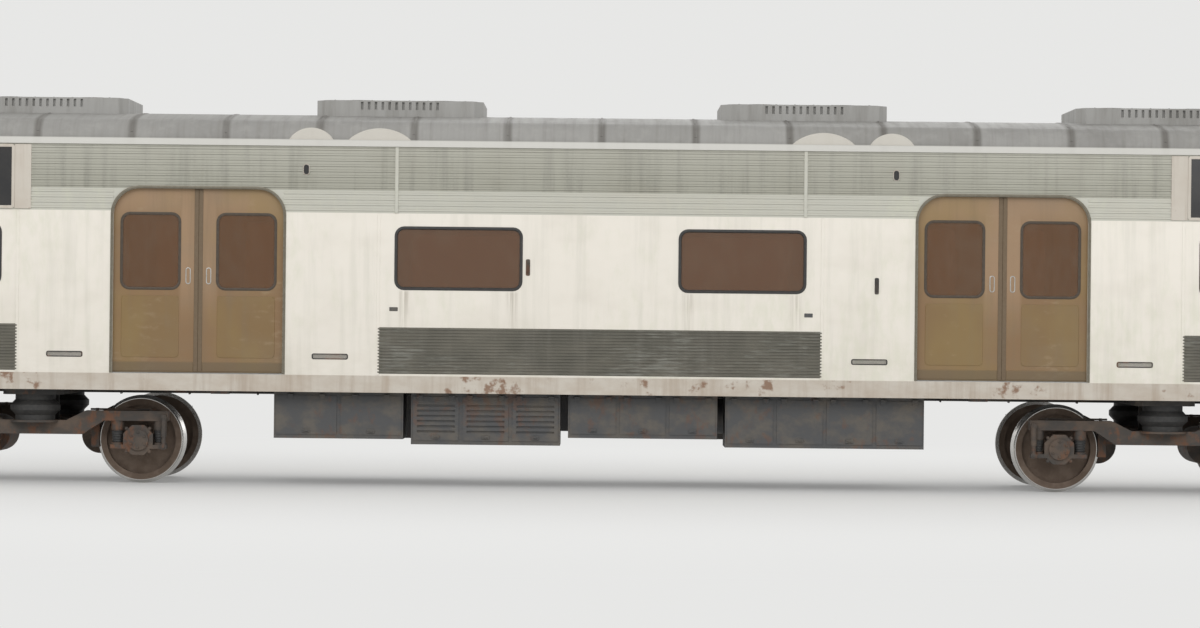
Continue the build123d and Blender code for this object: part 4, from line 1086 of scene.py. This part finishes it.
def draw_bogie_bolts(bm, name):
    level = middle(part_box(f"wheelset_{name}1")).z
    for box in islands(f"axle_boxes_{name}"):
        side = sign(box[0].y)
        face = side * outer(box, 1)
        bolt_circle(bm, Vector((middle(box).x, face, level)), side, 0.078, 6, 0.011, 0.012)
        bolt_circle(bm, Vector((middle(box).x, face - side * 0.0202, level)), side, 0.165, 4, 0.012, 0.014)


def draw_bogie_pipes(bm, name):
    low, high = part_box(f"bogie_frame_{name}")
    place = on_level(high.z)
    for y in (-PIPE_ACROSS, PIPE_ACROSS):
        for start, reach in ((low.x + PIPE_INSET, PIPE_REACH), (high.x - PIPE_INSET, -PIPE_REACH)):
            tube(bm, [place(start + run, y, 0.012) for run in (0, reach)], 0.010)
            for share in (0.1, 0.9):
                plate(bm, place, (start + reach * share, y), (0.030, 0.044), 0.004, LIFT, 0.024)


def draw_spring_rubbers(bm, name):
    profile = []
    for rib in range(SPRING_RIBS):
        share = rib / (SPRING_RIBS - 1)
        level = SPRING_FOOT + 0.004 + share * (SPRING_TOP - SPRING_FOOT - 0.026)
        radius = 0.050 + 0.010 * share
        profile += [(radius, level), (radius + 0.005, level + 0.007), (radius, level + 0.014)]
    for box in islands(f"axle_boxes_{name}"):
        for x in (middle(box).x - SPRING_X, middle(box).x + SPRING_X):
            lathe(bm, (x, sign(box[0].y), box[1].z - WING_DROP), UP, profile, 24)


def draw_dampers(bm, name):
    bogie_x = middle(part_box(f"bogie_frame_{name}")).x
    for low, high in islands(f"axle_boxes_{name}"):
        side, axle_x = sign(low.y), middle((low, high)).x
        x = axle_x + sign(axle_x - bogie_x) * DAMPER_SHIFT
        y = side * DAMPER_ACROSS
        foot, head = low.z + 0.085, high.z + 0.040
        tube(bm, [(x, y, foot), (x, y, foot + 0.14)], 0.022, 14)
        tube(bm, [(x, y, foot + 0.10), (x, y, head)], 0.029, 14)
        for level in (foot, head):
            lathe(bm, (x, y - side * 0.030, level), (0, side, 0), DAMPER_EYE, 14)


# Inside: benches with upholstery on a slotted plinth, light diffusers
PLACE_WIDTH = 0.46
PADDING_STEPS = 8
PLINTH_DEPTH = 0.300
PLINTH_HEIGHT = 0.33
PLINTH_EDGE = 0.012
SLOT_RIM = ((0, LIFT), (0, 0.003), (0.006, 0.004), (0.010, LIFT))
LIGHT_PITCH = 1.42
LIGHT_ACROSS = 0.55
DIFFUSER = ((-0.07, LIFT), (-0.06, 0.022), (-0.03, 0.034), (0.03, 0.034), (0.06, 0.022), (0.07, LIFT))
DIFFUSER_SHEET = ((-0.6, 0), (0.6, 0), (0.6, 0.0002), (-0.6, 0.0002))


def draw_padding(bm, box, level, gaps, radius, crown, lean=0.0):
    """Padding along a bench from this level up. Its section swells between seams at each seat.

    Gaps are those in front of it and behind it. Lean moves its top towards the wall.
    """
    front, back = inner(box, 1) + gaps[0], wall_inner - gaps[1]
    size = (back - front, box[1].z - 0.003 - level)
    section = [
        ((front + back) / 2 + u + lean * (v / size[1] + 0.5), level + size[1] / 2 + v)
        for u, v in rounded(size, radius, 4)
    ]
    centre_y, centre_z = (sum(values) / len(values) for values in zip(*section))
    start, end = box[0].x + 0.004, box[1].x - 0.004
    steps = max(2, round((end - start) / PLACE_WIDTH)) * PADDING_STEPS
    rings = []
    for index in range(steps + 1):
        swell = 1 - crown * (2 * abs(index % PADDING_STEPS / PADDING_STEPS - 0.5)) ** 6
        if index in (0, steps):
            swell = 1 - 2.2 * crown
        x = start + (end - start) * index / steps
        rings.append([
            (x, sign(box[0].y) * (centre_y + (y - centre_y) * swell), centre_z + (z - centre_z) * swell)
            for y, z in section
        ])
    loft(bm, rings)


def dress_benches():
    cushions, backs = [], []
    for box in islands("seats"):
        (cushions if box[0].z < floor_top + 0.2 else backs).append(box)

    def draw_plinths(bm):
        for box in cushions:
            place = on_side(-sign(box[0].y), PLINTH_DEPTH - wall_inner)
            length = extent(box).x
            size = (length - 2 * PLINTH_EDGE, PLINTH_HEIGHT - PLINTH_EDGE)
            centre = (middle(box).x, floor_top + size[1] / 2)
            plate(bm, place, centre, size, 0.004, -PLINTH_DEPTH + 0.002, 0, 0.004)
            slots = int(size[0] / 0.30)
            for slot in range(slots):
                x = box[0].x + (slot + 0.5) * length / slots
                ring_frame(bm, place, (x, floor_top + 0.17), (0.20, 0.12), 0.01, SLOT_RIM)

    def draw_cushions(bm):
        for box in cushions:
            draw_padding(bm, box, floor_top + PLINTH_HEIGHT + 0.002, (0.002, 0.010), 0.035, 0.055)

    def draw_backs(bm):
        for box in backs:
            draw_padding(bm, box, box[0].z + 0.004, (0.004, 0.055), 0.030, 0.05, 0.048)

    plinths = make_piece("bench_plinths", "carbody", "lining_laminate", draw_plinths)
    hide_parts("seats")
    for name, draw in (("bench_cushions", draw_cushions), ("bench_backs", draw_backs)):
        padding = make_piece(name, "carbody", "seat_vinyl", draw, 60)
        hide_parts("seats")


def draw_light_strips(bm):
    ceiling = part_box("ceiling")[1].z - 0.020
    for side in SIDES.values():
        for index in range(-5, 6):
            x, y = index * LIGHT_PITCH, side * LIGHT_ACROSS
            loft(bm, [
                [(x + run, y + across, ceiling - drop + rise) for run, rise in DIFFUSER_SHEET]
                for across, drop in DIFFUSER
            ])


# Columns: name, slot, what draws it, a look other than the slot's
BODY_PIECES = (
    ("unit_lids", "roof_paint", draw_unit_lids, "unit_paint"),
    ("doorway_trims", "tread_metal", draw_doorway_trims, "trim_metal"),
    ("window_gaskets", "spring_rubber", draw_window_gaskets),
    ("panel_joints", "side_paint", draw_panel_joints),
    ("panel_rivets", "sill_paint", draw_panel_rivets),
    ("release_handles", "frame_paint", draw_releases),
    ("data_plates", "box_paint", draw_data_plates),
    ("pocket_vents", "frame_paint", draw_pocket_vents),
    ("display_frames", "sill_paint", draw_display_frames),
    ("roof_seams", "roof_paint", draw_roof_seams),
    ("fan_guards", "frame_paint", draw_fan_guards),
    ("lamp_rims", "tread_metal", draw_lamp_rims),
    ("end_rails", "rail_steel", draw_end_rails),
    ("box_fittings", "box_paint", draw_box_fittings),
    ("underfloor_pipes", "frame_paint", draw_pipes),
    ("light_strips", "lining_laminate", draw_light_strips),
)
# Columns: name and body without the end's letter, slot, what draws it, the angle of sharp edges
END_PIECES = (
    ("end_door_handle", "end_door_leaf", "rail_steel", draw_end_door_handle),
    ("end_door_rubber", "end_door_leaf", "spring_rubber", draw_end_door_rubber),
    ("axle_box_bolts", "bogie", "bogie_paint", draw_bogie_bolts),
    ("bogie_pipes", "bogie", "bogie_paint", draw_bogie_pipes),
    ("spring_rubbers", "bogie", "spring_rubber", draw_spring_rubbers, 50),
    ("dampers", "bogie", "bogie_paint", draw_dampers),
)


def build_pieces():
    dress_leaves()
    dress_benches()
    for name, slot, draw, *look in BODY_PIECES:
        make_piece(name, "carbody", slot, draw, SHARP, *look)
    for end in ENDS:
        for name, body, slot, draw, *sharp in END_PIECES:
            make_piece(f"{name}_{end}", f"{body}_{end}", slot, lambda bm: draw(bm, end), *sharp)


BACKDROP = (0.80, 0.80, 0.79)
FLOOR_REACH = 60.0


def build_stage():
    """A pale floor that fades into the pale world around it."""
    mesh = bpy.data.meshes.new("stage_floor")
    corners = [(x * FLOOR_REACH, y * FLOOR_REACH, 0) for x, y in ((-1, -1), (1, -1), (1, 1), (-1, 1))]
    mesh.from_pydata(corners, [], [(0, 1, 2, 3)])
    floor = add_object("stage_floor", mesh)
    look = Look("stage_floor", (0.70, 0.70, 0.69), 0.9)
    radius = look.radius((0, 0, 0), (0.5, 1, 1))
    glow = look.node("ShaderNodeEmission", {"Color": (*BACKDROP, 1), "Strength": 1.0})
    fade = look.remap(radius, 2.0, 13.0, 0.25, 1.0)
    blend = look.node("ShaderNodeMixShader", {0: fade, 1: look.shader.outputs[0], 2: glow.outputs[0]})
    look.tree.links.new(blend.outputs[0], look.tree.nodes["Material Output"].inputs["Surface"])
    mesh.materials.append(look.material)


# The level that the lamps look at. Columns: place, width, height, power in watts
LAMP_AIM = 1.6
LAMPS = (
    ((-8, -18, 13), 18, 10, 1700),
    ((11, -18, 8), 14, 8, 700),
    ((4, 18, 12), 18, 10, 1500),
    ((-20, 3, 9), 10, 8, 500),
    ((20, -3, 9), 10, 8, 500),
)


def build_lights():
    """A soft world, seen as the backdrop, with large soft lamps round the car."""
    world = bpy.data.worlds.new("studio")
    scene.world = world
    world.use_nodes = True
    tree = world.node_tree
    light = add_node(tree, "ShaderNodeBackground", {"Color": (1, 1, 1, 1), "Strength": 0.70})
    seen = add_node(tree, "ShaderNodeBackground", {"Color": (*BACKDROP, 1), "Strength": 1.0})
    rays = add_node(tree, "ShaderNodeLightPath").outputs
    shown = rays["Is Camera Ray"]
    for ray in ("Is Glossy Ray", "Is Transmission Ray"):
        shown = add_node(tree, "ShaderNodeMath", {0: shown, 1: rays[ray]}, operation="MAXIMUM").outputs[0]
    mix = add_node(tree, "ShaderNodeMixShader", {0: shown, 1: light.outputs[0], 2: seen.outputs[0]})
    tree.links.new(mix.outputs[0], tree.nodes["World Output"].inputs["Surface"])

    for index, (place, width, height, power) in enumerate(LAMPS):
        lamp = bpy.data.lights.new(f"lamp_{index}", "AREA")
        lamp.shape = "RECTANGLE"
        lamp.size, lamp.size_y, lamp.energy = width, height, power
        obj = add_object(f"lamp_{index}", lamp)
        obj.location = place
        obj.rotation_euler = (Vector((0, 0, LAMP_AIM)) - Vector(place)).to_track_quat("-Z", "Y").to_euler()


# The photograph: 1200 pixels span 12 m of the near side, seen square on and rolled a little
PHOTO_SPAN = 12.0
CAMERA_DISTANCE = 35.0
CAMERA_HEIGHT = 1.768
CAMERA_ROLL = 0.6
SENSOR_WIDTH = 36.0


def build_camera():
    camera = bpy.data.cameras.new("camera")
    camera.sensor_width = SENSOR_WIDTH
    camera.lens = SENSOR_WIDTH * CAMERA_DISTANCE / PHOTO_SPAN
    camera.clip_end = 200
    scene.camera = add_object("camera", camera)
    upright = Matrix.Rotation(math.radians(90), 4, "X")
    roll = Matrix.Rotation(math.radians(CAMERA_ROLL), 4, "Z")
    place = Matrix.Translation((0, -half_width - CAMERA_DISTANCE, CAMERA_HEIGHT))
    scene.camera.matrix_world = place @ upright @ roll


dress_frame()
build_pieces()
build_stage()
build_lights()
build_camera()
scene.view_settings.view_transform = "Standard"
